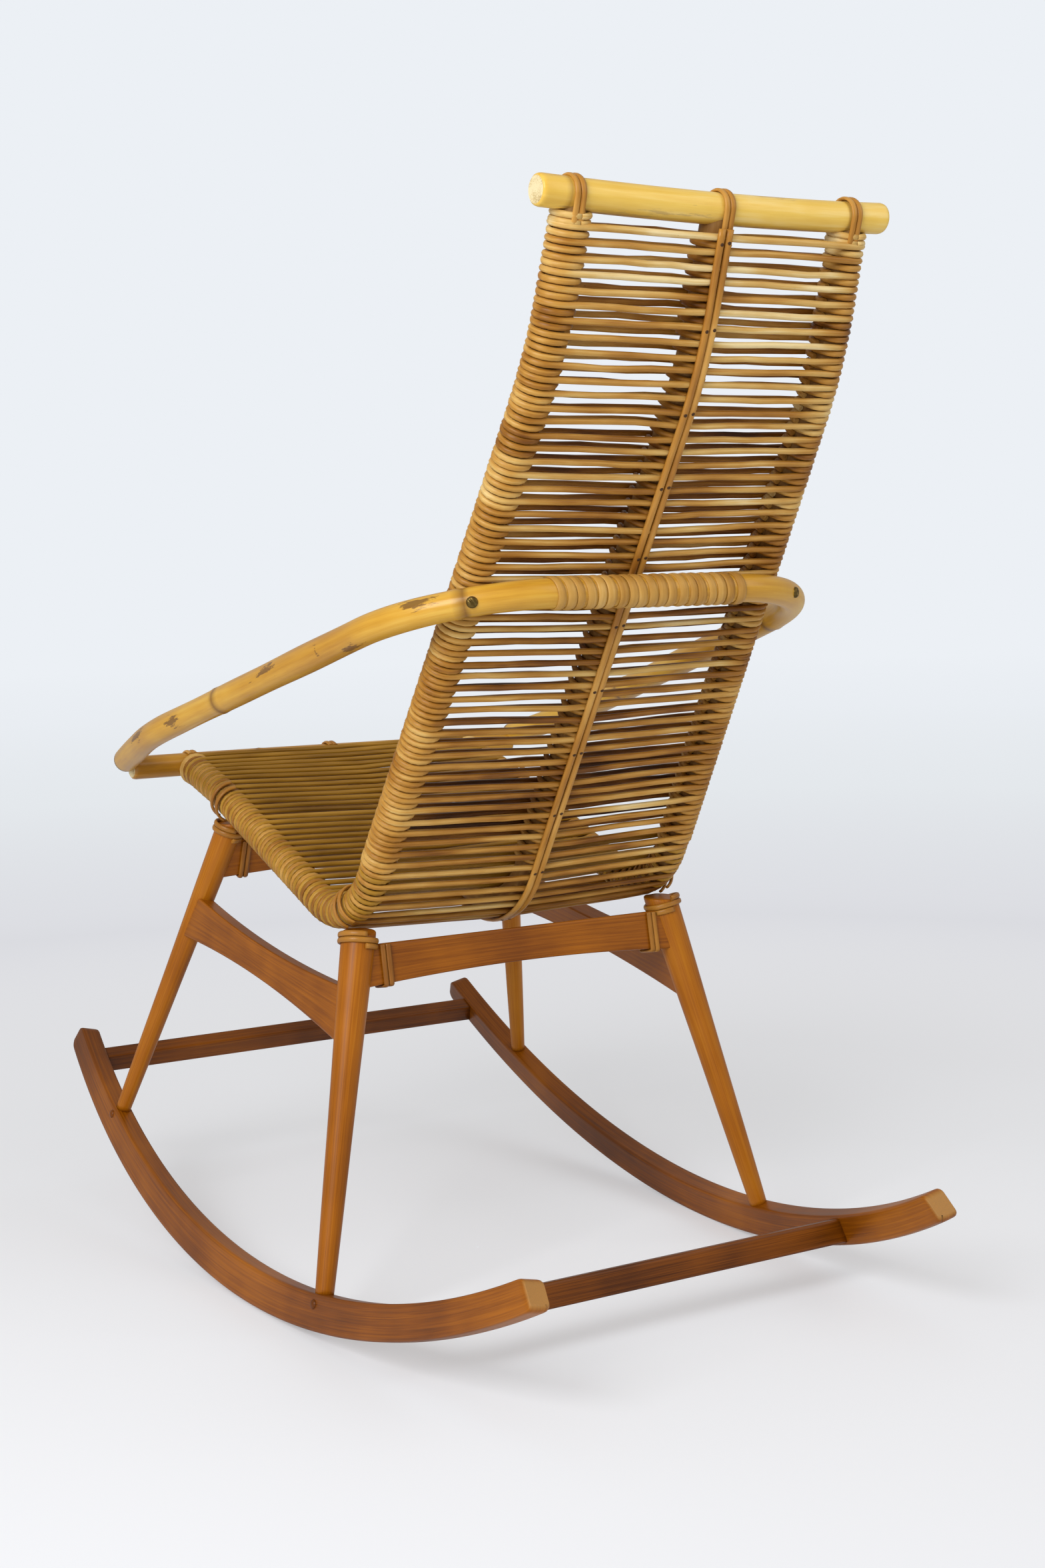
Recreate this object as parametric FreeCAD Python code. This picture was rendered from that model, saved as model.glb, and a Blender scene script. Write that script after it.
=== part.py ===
import FreeCAD, Part
import math
import os

V = FreeCAD.Vector
AXIS_X = V(1, 0, 0)

# Clearances
fit = 0.15              # tenon to socket, cope to pole
lay = 0.25              # reed and cane to what they lie on

# Poles, reed and cane
pole_r = 12.2           # seat and back rails
reed_r = 3.0            # round reed of the back and the seat
coil_r = pole_r + lay + 2 * reed_r
row_pitch = 12.6        # one crossing reed and one wrap reed
row_sides = 5
round_sides = 12        # flats in one turn of a strand
peg_sides = 8           # flats round a tenon, a peg or a screw
sag = 0.35              # of a flat below its bend
clear_all = 2000.0      # size of a cutting block
cane_r = 2.3            # cane strands of the ties and bindings

# Rockers, laid out in their own plane (y along, w up, n across)
rocker_radius = 924.0
rocker_height = 35.5
rocker_thick = 22.0
rocker_front = -473.0
rocker_rear = 510.0
rear_cut_lean = 13.0
tip_round = 9.0
rear_round = 7.0
half_track = 272.8
cant = 14.0             # the tops of the side frames lean inward
toe = 1.7               # the rockers spread toward the front
sole_depth = 2.0        # level band worn along the bottom edge
flat_length = 40.0      # worn flat where the chair rests
rest_tilt = 4.4         # lean back at rest, puts the centre of mass over the flat

# Legs: foot and upper point of each axis in the rocker's plane
rear_foot = (179.7, 53.2)
rear_high = (109.6, 330.4)
rear_foot_r = 9.0
rear_high_r = 15.6
rear_top_z = 374.5
front_foot = (-322.1, 95.0)
front_high = (-238.5, 370.0)
front_foot_r = 8.2
front_high_r = 13.0
front_top_z = 429.0
foot_tenon_r = 5.5
foot_tenon = 17.0
peg_r = 3.0
peg_head_r = 4.6
peg_head = 1.6
peg_deep = 12.0

# Stretchers and aprons
side_thick = 19.0
side_front = (354.0, 307.0)     # top and bottom level at the front leg
side_mid = (333.5, 301.5)
side_rear = (331.0, 277.0)
stub_r = 5.0                    # round tenons of stretchers and aprons
stub_stop = 4.0                 # how far from the leg axis a tenon stops
apron_thick = 18.0
apron_arch = 8.0
rear_apron = (320.5, 361.0)     # bottom and top level
front_apron = (368.0, 412.0)
bar_tall = 24.0
bar_sink = 1.5                  # below the middle of the rocker's height
bar_wide = 17.5
bar_tenon = 9.0
rear_bar_y = 339.0
front_bar_y = -427.0

# Seat and back rails: runs and leans from the rear corner of the seat
corner_y, corner_z = 81.8, 367.1
back_run, back_recline = 622.6, 27.38
top_run, top_recline = 129.9, 13.3
seat_run, seat_rise = 330.0, 16.26
front_run, front_rise = 96.6, 10.44
top_x, bend_x, corner_x, knee_x, front_x = 142.5, 147.0, 175.5, 175.0, 173.5
bend_round = 420.0
corner_round = 90.0
knee_round = 380.0
centre_drop = 7.0

# Cross poles and arm hoop
top_rail_r = 13.5
top_rail_half = 179.0
top_rail_bevel = 4.0
cross_r = 12.8
cross_half = 243.0
cross_bevel = 2.0
hoop_r = 13.5
hoop_slope = 0.356
hoop_back_y = 310.5
hoop_corner_x = 218.0
hoop_corner_round = 134.0
hoop_arm_x, hoop_arm_y = 271.5, -201.7
hoop_arm_round = 350.0
hoop_end_x, hoop_end_y = 248.0, -333.0
hoop_level = 709.5              # height of the hoop axis where it meets the stiles
hoop_meet_y = 293.5

# Windings and trim
coil_start = 15.0               # along the stile, from the top rail axis
row_start = 25.0
coil_end = 14.0                 # along the rail, from the front pole axis
row_end = 7.5
tie_legs = 14.0
knot_legs = 3.0                 # the front ties stop short of the first reed
tie_apart = 2.6                 # half the distance between paired strands
ring_turns = 2
ring_pitch = 5.2
ring_below = 3.0                # under the top of the leg
strip_start = 17.0
strip_stop = 60.0               # short of the front pole axis
wind_turns = 19
wind_half = 103.0
wind_wide = 9.4
wind_thick = 1.5
wind_gap = 0.35
wind_sides = 12                 # flats in one turn
strip_wide = 7.0
strip_thick = 3.2
strip_apart = 7.4
screw_r = 5.0
screw_dome = 2.4
shank_r = 2.0
screw_length = 46.0             # from the hoop axis into the stile
screw_rise = 10.0               # the head points up toward the rear
screw_aside = 4.5               # inward of the stile's middle


class Path:
    """Straight runs joined by round bends, measured by length."""

    def __init__(self, points, rounds):
        self.parts = []
        start = points[0]
        for i in range(1, len(points) - 1):
            back = (points[i - 1] - points[i]).normalize()
            ahead = (points[i + 1] - points[i]).normalize()
            half = back.getAngle(ahead) / 2
            r = rounds[i - 1]
            p = points[i] + back * (r / math.tan(half))
            q = points[i] + ahead * (r / math.tan(half))
            self.add_line(start, p)
            mid = points[i] + (back + ahead).normalize() * (r / math.sin(half))
            self.parts.append(("arc", r * (math.pi - 2 * half), mid, (p - mid), back * -1, r))
            start = q
        self.add_line(start, points[-1])
        self.length = sum(part[1] for part in self.parts)

    def add_line(self, a, b):
        self.parts.append(("line", (b - a).Length, a, (b - a).normalize()))

    def on_part(self, part, s):
        if part[0] == "line":
            return part[2] + part[3] * s, part[3]
        turn = s / part[5]
        point = part[2] + part[3] * math.cos(turn) + part[4] * (part[5] * math.sin(turn))
        along = part[4] * math.cos(turn) - part[3] * (math.sin(turn) / part[5])
        return point, along

    def at(self, s):
        for part in self.parts:
            if s <= part[1] or part is self.parts[-1]:
                return self.on_part(part, s)
            s -= part[1]

    def up(self, along):
        """The way up of a section: square to the run, in the y-z plane."""
        return outward(along)


def outward(along):
    """Normal of a rail in the y-z plane, toward the rear of the back and the underside of the seat."""
    n = V(0, -along.z, along.y)
    return n.normalize()


def stations(path, s0, s1):
    """Lengths along a path at which a section is set: both ends, run ends, and marks round the bends."""
    marks = [0.0]
    for part in path.parts:
        count = 1
        if part[0] == "arc":
            step = 2 * math.acos(1 - sag / part[5])
            count = math.ceil(part[1] / part[5] / step)
        base = marks[-1]
        marks.extend(base + part[1] * (i + 1) / count for i in range(count))
    return [s0] + [m for m in marks if s0 + 0.5 < m < s1 - 0.5] + [s1]


def loft(rings):
    wires = [Part.makePolygon(ring + ring[:1]) for ring in rings]
    return Part.makeLoft(wires, True, True)


def wound(rings):
    """Closed solid of flat triangles through a row of equal rings."""
    faces = [Part.Face(Part.makePolygon(ring + ring[:1])) for ring in (rings[0], rings[-1])]
    count = len(rings[0])
    for low, high in zip(rings, rings[1:]):
        for i in range(count):
            k = (i + 1) % count
            for three in ((low[i], low[k], high[k]), (low[i], high[k], high[i])):
                faces.append(Part.Face(Part.makePolygon(list(three) + [three[0]])))
    solid = Part.Solid(Part.makeShell(faces))
    return solid if solid.Volume > 0 else solid.reversed()


def ring_points(p, t, u, r, sides, shift=0.0):
    w = t.cross(u)
    angles = [2 * math.pi * (i + shift) / sides for i in range(sides)]
    return [p + u * (r * math.cos(a)) + w * (r * math.sin(a)) for a in angles]


def bar(path, r, s0=0.0, s1=None):
    """Round pole along a path, in flats that keep one way up."""
    rings = []
    for s in stations(path, s0, path.length if s1 is None else s1):
        p, t = path.at(s)
        rings.append(ring_points(p, t, path.up(t), r, round_sides))
    return loft(rings)


def straight(p, d, length, r, r1=None, sides=None):
    """Straight bar or taper in flats."""
    sides = sides or peg_sides
    u = (AXIS_X if abs(d.x) < 0.7 else V(0, 0, 1))
    u = (u - d * u.dot(d)).normalize()
    tip = r if r1 is None else r1
    return loft([ring_points(p, d, u, r, sides, 0.5), ring_points(p + d * length, d, u, tip, sides, 0.5)])


around = 1 / math.cos(math.pi / round_sides)     # corner over flat of a pole's section


def half_shell(path, s0, s1, side=1):
    """Half ring of the coil's depth on the outer side of a rail."""
    rings = []
    flats = round_sides // 2
    inner = pole_r + lay
    for s in stations(path, s0, s1):
        p, t = path.at(s)
        n = outward(t)
        o = n.cross(t).normalize()
        o = o if o.x * side > 0 else o * -1
        ring = []
        for r, order in ((coil_r, range(flats + 1)), (inner, range(flats, -1, -1))):
            for i in order:
                a = math.pi * i / flats
                ring.append(p + n * (r * math.cos(a)) + o * (r * math.sin(a)))
        rings.append(ring)
    return loft(rings)


def reed(marks):
    """Reed across the chair: the same section in flats at each place."""
    rings = []
    for x, y, z in marks:
        rings.append(ring_points(V(x, y, z), AXIS_X, V(0, 0.6, 0.8), reed_r, row_sides, 0.5))
    return loft(rings)


def strand(points, rounds, r=cane_r):
    """Bent strand of cane through corner points in one plane."""
    path = Path(points, rounds)
    flat = (points[1] - points[0]).cross(points[2] - points[1]).normalize()
    rings = []
    for s in stations(path, 0.0, path.length):
        p, t = path.at(s)
        rings.append(ring_points(p, t, flat, r, row_sides, 0.5))
    return wound(rings)


def mirrored(shape):
    return shape.mirror(V(0, 0, 0), AXIS_X)


def group(shapes):
    solids = []
    for shape in shapes:
        solids.extend(shape.Solids)
    return Part.makeCompound(solids)


def biggest(shape):
    return max(shape.Solids, key=lambda solid: solid.Volume)


# Side frame placement
roll_radius = rocker_radius / math.cos(math.radians(cant))
lift = rocker_thick / 2 * math.sin(math.radians(cant)) - sole_depth
side_place = FreeCAD.Placement(
    V(half_track, 0, lift),
    FreeCAD.Rotation(V(0, 0, 1), toe) * FreeCAD.Rotation(V(0, 1, 0), -cant))


def placed(shape):
    shape = shape.copy()
    shape.Placement = side_place
    return shape


def side_point(yw, n=0.0):
    return side_place.multVec(V(n, yw[0], yw[1]))


def bottom_w(y):
    return rocker_radius - math.sqrt(rocker_radius ** 2 - y ** 2)


def top_w(y):
    return bottom_w(y) + rocker_height


def slope_at(y):
    return math.asin(y / rocker_radius)


def rocker_outline():
    """Two equal arcs, one above the other; square front tip, rear tip cut a little raked."""
    tips = []
    for y, lean in ((rocker_front, 0.0), (rocker_rear, rear_cut_lean)):
        angle = slope_at(y) + math.pi / 2 + math.radians(lean)
        d = V(0, math.cos(angle), math.sin(angle))
        low = V(0, y, bottom_w(y))
        reach = 0.0
        while (low + d * reach).z < top_w((low + d * reach).y):
            reach += 0.02
        tips.append((low, low + d * reach))
    (f_low, f_top), (r_low, r_top) = tips
    base = Part.Arc(f_low, V(0, 0, bottom_w(0)), r_low).toShape()
    crown = Part.Arc(r_top, V(0, 0, top_w(0)), f_top).toShape()
    return Part.Wire([base, Part.makeLine(r_low, r_top), crown, Part.makeLine(f_top, f_low)])


def leg_axis(foot, high):
    a = V(0, foot[0], foot[1])
    b = V(0, high[0], high[1])
    return a, (b - a).normalize(), (b - a).Length


def leg_at(foot, high, w):
    a, d, _ = leg_axis(foot, high)
    return (a + d * ((w - a.z) / d.z))


def leg_cone(foot, high, r0, r1, grow=0.0):
    """Plain taper, carried past both ends so that it can be trimmed."""
    a, d, length = leg_axis(foot, high)
    rate = (r1 - r0) / length
    low, high_end = -foot_tenon, length * 1.3
    ends = (r0 + rate * low + grow, r0 + rate * high_end + grow)
    return straight(a + d * low, d, high_end - low, ends[0], ends[1], round_sides)


def rocker_solid():
    solid = Part.Face(rocker_outline()).extrude(V(rocker_thick, 0, 0))
    solid.translate(V(-rocker_thick / 2, 0, 0))
    tips = []
    for edge in solid.Edges:
        c = edge.CenterOfMass
        if abs(edge.Length - rocker_thick) < 1e-3 and c.y < rocker_front + 60:
            tips.append(edge)
    solid = solid.makeFillet(tip_round, tips)
    ends = []
    for edge in solid.Edges:
        c = edge.CenterOfMass
        if abs(edge.Length - rocker_thick) < 1e-3 and c.y > rocker_rear - 60:
            ends.append(edge)
    return solid.makeFillet(rear_round, ends)


def sole_trim(shape):
    """Level sole: the part below a roller of the rocking radius, and the worn flat, come off."""
    disc = Part.makeCylinder(roll_radius, 2 * clear_all, V(-clear_all, 0, roll_radius), AXIS_X)
    depth = flat_length ** 2 / 8 / roll_radius
    floor = Part.makeBox(2 * clear_all, 2 * clear_all, clear_all)
    floor.translate(V(-clear_all, -clear_all, depth - clear_all))
    floor.rotate(V(0, 0, roll_radius), AXIS_X, rest_tilt)
    return biggest(shape.common(disc).cut(floor))


def under_rocker_top(foot, gap):
    """Everything below the top edge of the rocker where a leg stands on it."""
    block = Part.makeBox(2 * clear_all, 2 * clear_all, clear_all)
    block.translate(V(-clear_all, -clear_all, gap - clear_all))
    block.rotate(V(0, 0, 0), AXIS_X, math.degrees(slope_at(foot[0])))
    block.translate(V(0, foot[0], top_w(foot[0])))
    return block


def leg_local(foot, high, r0, r1):
    """Turned leg with its foot coped to the rocker and a round tenon below."""
    a, d, _ = leg_axis(foot, high)
    leg = biggest(leg_cone(foot, high, r0, r1).cut(under_rocker_top(foot, fit)))
    tenon = straight(a - d * foot_tenon, d, foot_tenon + 6, foot_tenon_r)
    return leg.fuse(tenon)


def foot_socket(foot, high):
    a, d, _ = leg_axis(foot, high)
    return straight(a - d * (foot_tenon + fit), d, foot_tenon + 26, foot_tenon_r + fit)


def near_rail(point):
    """Length along the side rail closest to a point."""
    return min(range(0, int(rail_length)), key=lambda k: (side_path.at(k)[0] - point).Length)


def ring_spot(foot, high, r0, r1, top):
    """Where the two-turn binding sits on a leg: start, axis, radius, taper."""
    a, d = global_axis(foot, high)
    rate = (r1 - r0) / (side_point(high) - a).Length
    base = on_axis(foot, high, top - ring_below - ring_turns * ring_pitch * d.z)
    return base, d, r0 + rate * (base - a).Length + cane_r + lay, rate


def ring_room(foot, high, r0, r1, top):
    """Housing in the apron's top corner that lets the binding pass."""
    base, d, r, rate = ring_spot(foot, high, r0, r1, top)
    wide = (r + cane_r) * around + 4 * lay
    return straight(base - d * (cane_r + lay), d, rear_top_z, wide, None, round_sides)


def peg_place(foot, high):
    a, d, _ = leg_axis(foot, high)
    return a - d * 10.0


def peg(foot, high, grow=0.0):
    """Domed peg driven from the outer face through the tenon."""
    c = peg_place(foot, high)
    face = rocker_thick / 2
    shank = straight(V(face - peg_deep - grow, c.y, c.z), AXIS_X, peg_deep + grow + 0.1, peg_r + grow)
    if grow:
        return shank
    cap = straight(V(face + 0.1, c.y, c.z), AXIS_X, peg_head, peg_head_r, peg_head_r * 0.55)
    return shank.fuse(cap)


def side_board():
    """Waisted board between the two legs of one side, ends on the leg axes."""
    corner = {}
    for name, foot, high, pair in (("f", front_foot, front_high, side_front),
                                   ("r", rear_foot, rear_high, side_rear)):
        corner[name] = (leg_at(foot, high, pair[0]), leg_at(foot, high, pair[1]))
    mid_y = (corner["f"][0].y + corner["r"][0].y) / 2
    top = Part.Arc(corner["f"][0], V(0, mid_y, side_mid[0]), corner["r"][0]).toShape()
    low = Part.Arc(corner["r"][1], V(0, mid_y, side_mid[1]), corner["f"][1]).toShape()
    wire = Part.Wire([top, Part.makeLine(corner["r"][0], corner["r"][1]), low,
                      Part.makeLine(corner["f"][1], corner["f"][0])])
    board = Part.Face(wire).extrude(V(side_thick, 0, 0))
    board.translate(V(-side_thick / 2, 0, 0))
    return board


def side_stub(foot, high, pair, ahead, grow=0.0):
    """Round tenon of the side stretcher, pointing along the board."""
    c = leg_at(foot, high, (pair[0] + pair[1]) / 2)
    d = V(0, ahead, 0)
    return straight(c + d * (stub_stop - grow), d, 26 - stub_stop + grow, stub_r + grow)


def global_axis(foot, high):
    a = side_point(foot)
    return a, (side_point(high) - a).normalize()


def on_axis(foot, high, z):
    a, d = global_axis(foot, high)
    return a + d * ((z - a.z) / d.z)


def apron_board(foot, high, levels):
    """Arched board between two legs, leaning with them, ends on the leg axes."""
    low, top = on_axis(foot, high, levels[0]), on_axis(foot, high, levels[1])
    mid = V(0, low.y, low.z) + V(0, top.y - low.y, top.z - low.z).normalize() * apron_arch
    flip = [V(-p.x, p.y, p.z) for p in (low, top)]
    arch = Part.Arc(low, mid, flip[0]).toShape()
    wire = Part.Wire([arch, Part.makeLine(flip[0], flip[1]), Part.makeLine(flip[1], top),
                      Part.makeLine(top, low)])
    lean = V(0, top.y - low.y, top.z - low.z).normalize()
    across = lean.cross(AXIS_X)
    board = Part.Face(wire).extrude(across * apron_thick)
    board.translate(across * (-apron_thick / 2))
    return board


def apron_stub(foot, high, levels, grow=0.0):
    c = on_axis(foot, high, (levels[0] + levels[1]) / 2)
    return straight(c - AXIS_X * (stub_stop - grow), -AXIS_X, 28 - stub_stop + grow, stub_r + grow)


def bar_box(y0, tall, wide, grow=0.0):
    """Cross bar between the rockers, square to their slope."""
    w0 = (bottom_w(y0) + top_w(y0)) / 2 - bar_sink
    c = side_point((y0, w0))
    tilt = math.degrees(slope_at(y0))
    box = Part.makeBox(2 * clear_all, wide + 2 * grow, tall + 2 * grow,
                       V(-clear_all, -wide / 2 - grow, -tall / 2 - grow))
    box.rotate(V(0, 0, 0), AXIS_X, tilt)
    box.translate(V(0, c.y, c.z))
    return box


def beyond_face(n):
    """Half space outside a plane parallel to the rocker's face."""
    return placed(Part.makeBox(2 * clear_all, 2 * clear_all, 2 * clear_all, V(n, -clear_all, -clear_all)))


def cross_bar(y0):
    body = bar_box(y0, bar_tall, bar_wide)
    tenon = bar_box(y0, bar_tall - 10, bar_wide - 8)
    shoulder = beyond_face(-rocker_thick / 2 - fit)
    tip = beyond_face(bar_tenon - rocker_thick / 2)
    body = body.cut([shoulder, mirrored(shoulder)])
    tenon = tenon.cut([tip, mirrored(tip)])
    return body.fuse(tenon).removeSplitter()


def bar_socket(y0):
    hole = bar_box(y0, bar_tall - 10, bar_wide - 8, fit)
    return hole.cut(beyond_face(bar_tenon + fit - rocker_thick / 2))


# Rails


def ahead_of(start, run, degrees):
    """Point in the y-z plane at a distance and an angle from the +y axis."""
    a = math.radians(degrees)
    return V(0, start.y + run * math.cos(a), start.z + run * math.sin(a))


corner = V(0, corner_y, corner_z)
bend = ahead_of(corner, back_run, 90 - back_recline)
crest = ahead_of(bend, top_run, 90 - top_recline)
knee = ahead_of(corner, seat_run, 180 - seat_rise)
front = ahead_of(knee, front_run, 180 - front_rise)
top_y, top_z = crest.y, crest.z
front_y, front_z = front.y, front.z
rail_rounds = [bend_round, corner_round, knee_round]
side_xs = (top_x, bend_x, corner_x, knee_x, front_x)
side_marks = zip(side_xs, (crest, bend, corner, knee, front))
side_path = Path([V(x, p.y, p.z) for x, p in side_marks], rail_rounds)

# The centre rail keeps the line of the back, and its seat runs lower
turn = math.radians(90 - back_recline + seat_rise)
low_corner = ahead_of(corner, -centre_drop / math.sin(turn), 90 - back_recline)
low_knee = knee - V(0, 0, centre_drop)
centre_path = Path([crest, bend, low_corner, low_knee, front], rail_rounds)

part_ends = []
run = 0.0
for part in side_path.parts:
    run += part[1]
    part_ends.append(run)
back_end = part_ends[2]          # where the rail starts to bend under the seat
rail_length = side_path.length


def centre_at(s):
    """Point of the centre rail that faces a point of the side rail."""
    ends = 0.0
    for i in range(3):
        ends += centre_path.parts[i][1]
    if s <= back_end:
        return centre_path.at(s * ends / back_end)
    share = (s - back_end) / (rail_length - back_end)
    return centre_path.at(ends + share * (centre_path.length - ends))


def bevelled(shape, size):
    return shape.makeChamfer(size, [e for e in shape.Edges if e.Closed])


def rail(path):
    """Bent pole, coped on the top rail and on the front pole."""
    tops = Part.makeCylinder(top_rail_r + fit, 2 * clear_all, V(-clear_all, top_y, top_z), AXIS_X)
    fronts = Part.makeCylinder(cross_r + fit, 2 * clear_all, V(-clear_all, front_y, front_z), AXIS_X)
    return biggest(bar(path, pole_r).cut(tops).cut(fronts))


def hoop_z(y):
    return hoop_level + hoop_slope * (y - hoop_meet_y)


def hoop_points():
    plan = [(hoop_end_x, hoop_end_y), (hoop_arm_x, hoop_arm_y), (hoop_corner_x, hoop_back_y)]
    right = [V(x, y, hoop_z(y)) for x, y in plan]
    left = [V(-p.x, p.y, p.z) for p in reversed(right)]
    return right + left


hoop_rounds = [hoop_arm_round, hoop_corner_round, hoop_corner_round, hoop_arm_round]
hoop_path = Path(hoop_points(), hoop_rounds)
hoop_path.up = lambda t: V(0, -hoop_slope, 1).normalize()


def hoop():
    body = bar(hoop_path, hoop_r)
    seat = Part.makeCylinder(cross_r + fit, 2 * clear_all, V(-clear_all, front_y, front_z), AXIS_X)
    return biggest(body.cut([seat, screw(fit), mirrored(screw(fit))]))


def rows(s0, s1, shift):
    count = int((s1 - s0) / row_pitch)
    return [s0 + (i + shift) * row_pitch for i in range(count)]


lay_off = pole_r + lay + reed_r


def back_spans(face, shift):
    """Reeds straight across the back from wrap to wrap."""
    out = []
    for s in rows(row_start, back_end, shift):
        p, t = side_path.at(s)
        c = p + outward(t) * (face * lay_off)
        reach = p.x - fit * 2
        out.append(reed([(-reach, c.y, c.z), (reach, c.y, c.z)]))
    return out


def seat_spans(face, shift):
    """Reeds of the seat, dipping to the centre rail."""
    out = []
    count = len(rows(row_start, back_end, 0.0))
    first = row_start + count * row_pitch
    for s in rows(first, rail_length - row_end, shift):
        p, t = side_path.at(s)
        q, u = centre_at(s)
        a = p + outward(t) * (face * lay_off)
        b = q + outward(u) * (face * lay_off)
        reach = p.x - fit * 2
        out.append(reed([(-reach, a.y, a.z), (0, b.y, b.z), (reach, a.y, a.z)]))
    return out


def strip(side):
    """Half-round cane strip down the back of the centre rail and under the seat."""
    rings = []
    off = pole_r + 2 * lay + 2 * reed_r + fit
    for s in stations(centre_path, strip_start, centre_path.length - strip_stop):
        p, t = centre_path.at(s)
        h = outward(t)
        c = p + h * off + AXIS_X * (side * strip_apart / 2)
        w = AXIS_X * (strip_wide / 2)
        h = h * strip_thick
        rings.append([c + w, c + w + h * 0.55, c + w * 0.5 + h, c - w * 0.5 + h, c - w + h * 0.55, c - w])
    return loft(rings)


def tie(end, t_out, hold_r, x, legs):
    """U-shaped strand: round the far side of a cross pole, ends laid along the rail on both faces."""
    n = outward(t_out)
    r = hold_r + cane_r + lay + sag
    far = end + t_out * r
    pts = [end - t_out * legs + n * r, far + n * r, far - n * r, end - t_out * legs - n * r]
    pts = [V(x, p.y, p.z) for p in pts]
    return strand(pts, [r * 0.98, r * 0.98])


def outer_loop(path, s, side=1, start=-62.0, stop=88.0):
    """Strand laid over the outer half of a wound rail."""
    p, t = path.at(s)
    n = outward(t)
    o = n.cross(t).normalize()
    o = o if o.x * side > 0 else o * -1
    count = math.ceil((stop - start) * round_sides / 360)
    r = (coil_r + lay) / math.cos(math.radians((stop - start) / count / 2)) + cane_r
    rings = []
    for i in range(count + 1):
        a = math.radians(start + (stop - start) * i / count)
        out = o * math.cos(a) - n * math.sin(a)
        rings.append(ring_points(p + out * r, out.cross(t), t, cane_r, row_sides, 0.5))
    return wound(rings)


def apron_strap(foot, high, levels, x):
    """Strand down one face of an apron, under its edge and up the other face."""
    low, top = on_axis(foot, high, levels[0]), on_axis(foot, high, levels[1])
    lean = V(0, top.y - low.y, top.z - low.z).normalize()
    across = lean.cross(AXIS_X)
    rise = apron_arch * (1 - (x / low.x) ** 2)
    out = apron_thick / 2 + cane_r + lay
    foot_mid = V(x, low.y, low.z) + lean * (rise - cane_r - lay)
    head_mid = V(x, top.y, top.z) - lean * 1.0
    aside = across * out
    pts = [head_mid + aside, foot_mid + aside, foot_mid - aside, head_mid - aside]
    return strand(pts, [cane_r + lay, cane_r + lay])


def least_gap(rings, turn):
    """Smallest distance from one turn of a winding to the next, corner to corner."""
    return min((p - q).Length for low, high in zip(rings, rings[turn:]) for p in low for q in high)


def winding(base, axis, r0, rate, pitch, turns, flats):
    """Unbroken strand wound round a tapering leg: points of a helix."""
    u = axis.cross(AXIS_X).normalize()
    w = axis.cross(u)
    rings = []
    for i in range(int(turns * flats) + 1):
        a = 2 * math.pi * i / flats
        rise = pitch * i / flats
        r = (r0 + rate * rise - cane_r) / math.cos(math.pi / flats) + cane_r
        out = u * math.cos(a) + w * math.sin(a)
        along = (w * math.cos(a) - u * math.sin(a)) * r + axis * (pitch / 2 / math.pi)
        rings.append(ring_points(base + axis * rise + out * r, along.normalize(), out, cane_r, row_sides))
    print("least gap in a leg binding", round(least_gap(rings, flats), 2))
    return wound(rings)


def flat_winding():
    """Flat cane wound side by side round the back run of the hoop: points of a helix."""
    pitch = 2 * wind_half / wind_turns
    r0 = (hoop_r + wind_gap) / math.cos(math.pi / wind_sides)
    rings = []
    for i in range(wind_turns * wind_sides + 1):
        a = 2 * math.pi * i / wind_sides
        p, t = hoop_path.at(hoop_path.length / 2 - wind_half + pitch * i / wind_sides)
        u = hoop_path.up(t)
        out = u * math.cos(a) + t.cross(u) * math.sin(a)
        ring = []
        for r, along in ((r0, -0.5), (r0 + wind_thick, -0.5), (r0 + wind_thick, 0.5), (r0, 0.5)):
            ring.append(p + out * r + t * (along * wind_wide))
        rings.append(ring)
    print("least gap in the hoop winding", round(least_gap(rings, wind_sides), 2))
    return wound(rings)


def screw_line():
    """Point on the hoop axis behind the stile, and the way the screw points out."""
    s = 0.0
    while side_path.at(s)[0].z > hoop_level:
        s += 0.5
    stile, along = side_path.at(s)
    k = min(range(0, int(hoop_path.length / 2)), key=lambda i: (hoop_path.at(i)[0] - stile).Length)
    point, run_dir = hoop_path.at(k + screw_aside)
    rise = math.radians(screw_rise)
    n = V(0, math.cos(rise), math.sin(rise))
    return point, (n - run_dir * n.dot(run_dir)).normalize()


def screw(grow=0.0):
    """Round-headed screw through the hoop into the stile; grown, it is the hole."""
    point, n = screw_line()
    inside = screw_length + grow
    shank = straight(point - n * inside, n, inside + hoop_r + 0.1, shank_r + grow)
    if grow:
        return shank
    head = straight(point + n * (hoop_r + 0.1), n, screw_dome, screw_r, screw_r * 0.6)
    return shank.fuse(head)


parts = {}


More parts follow.
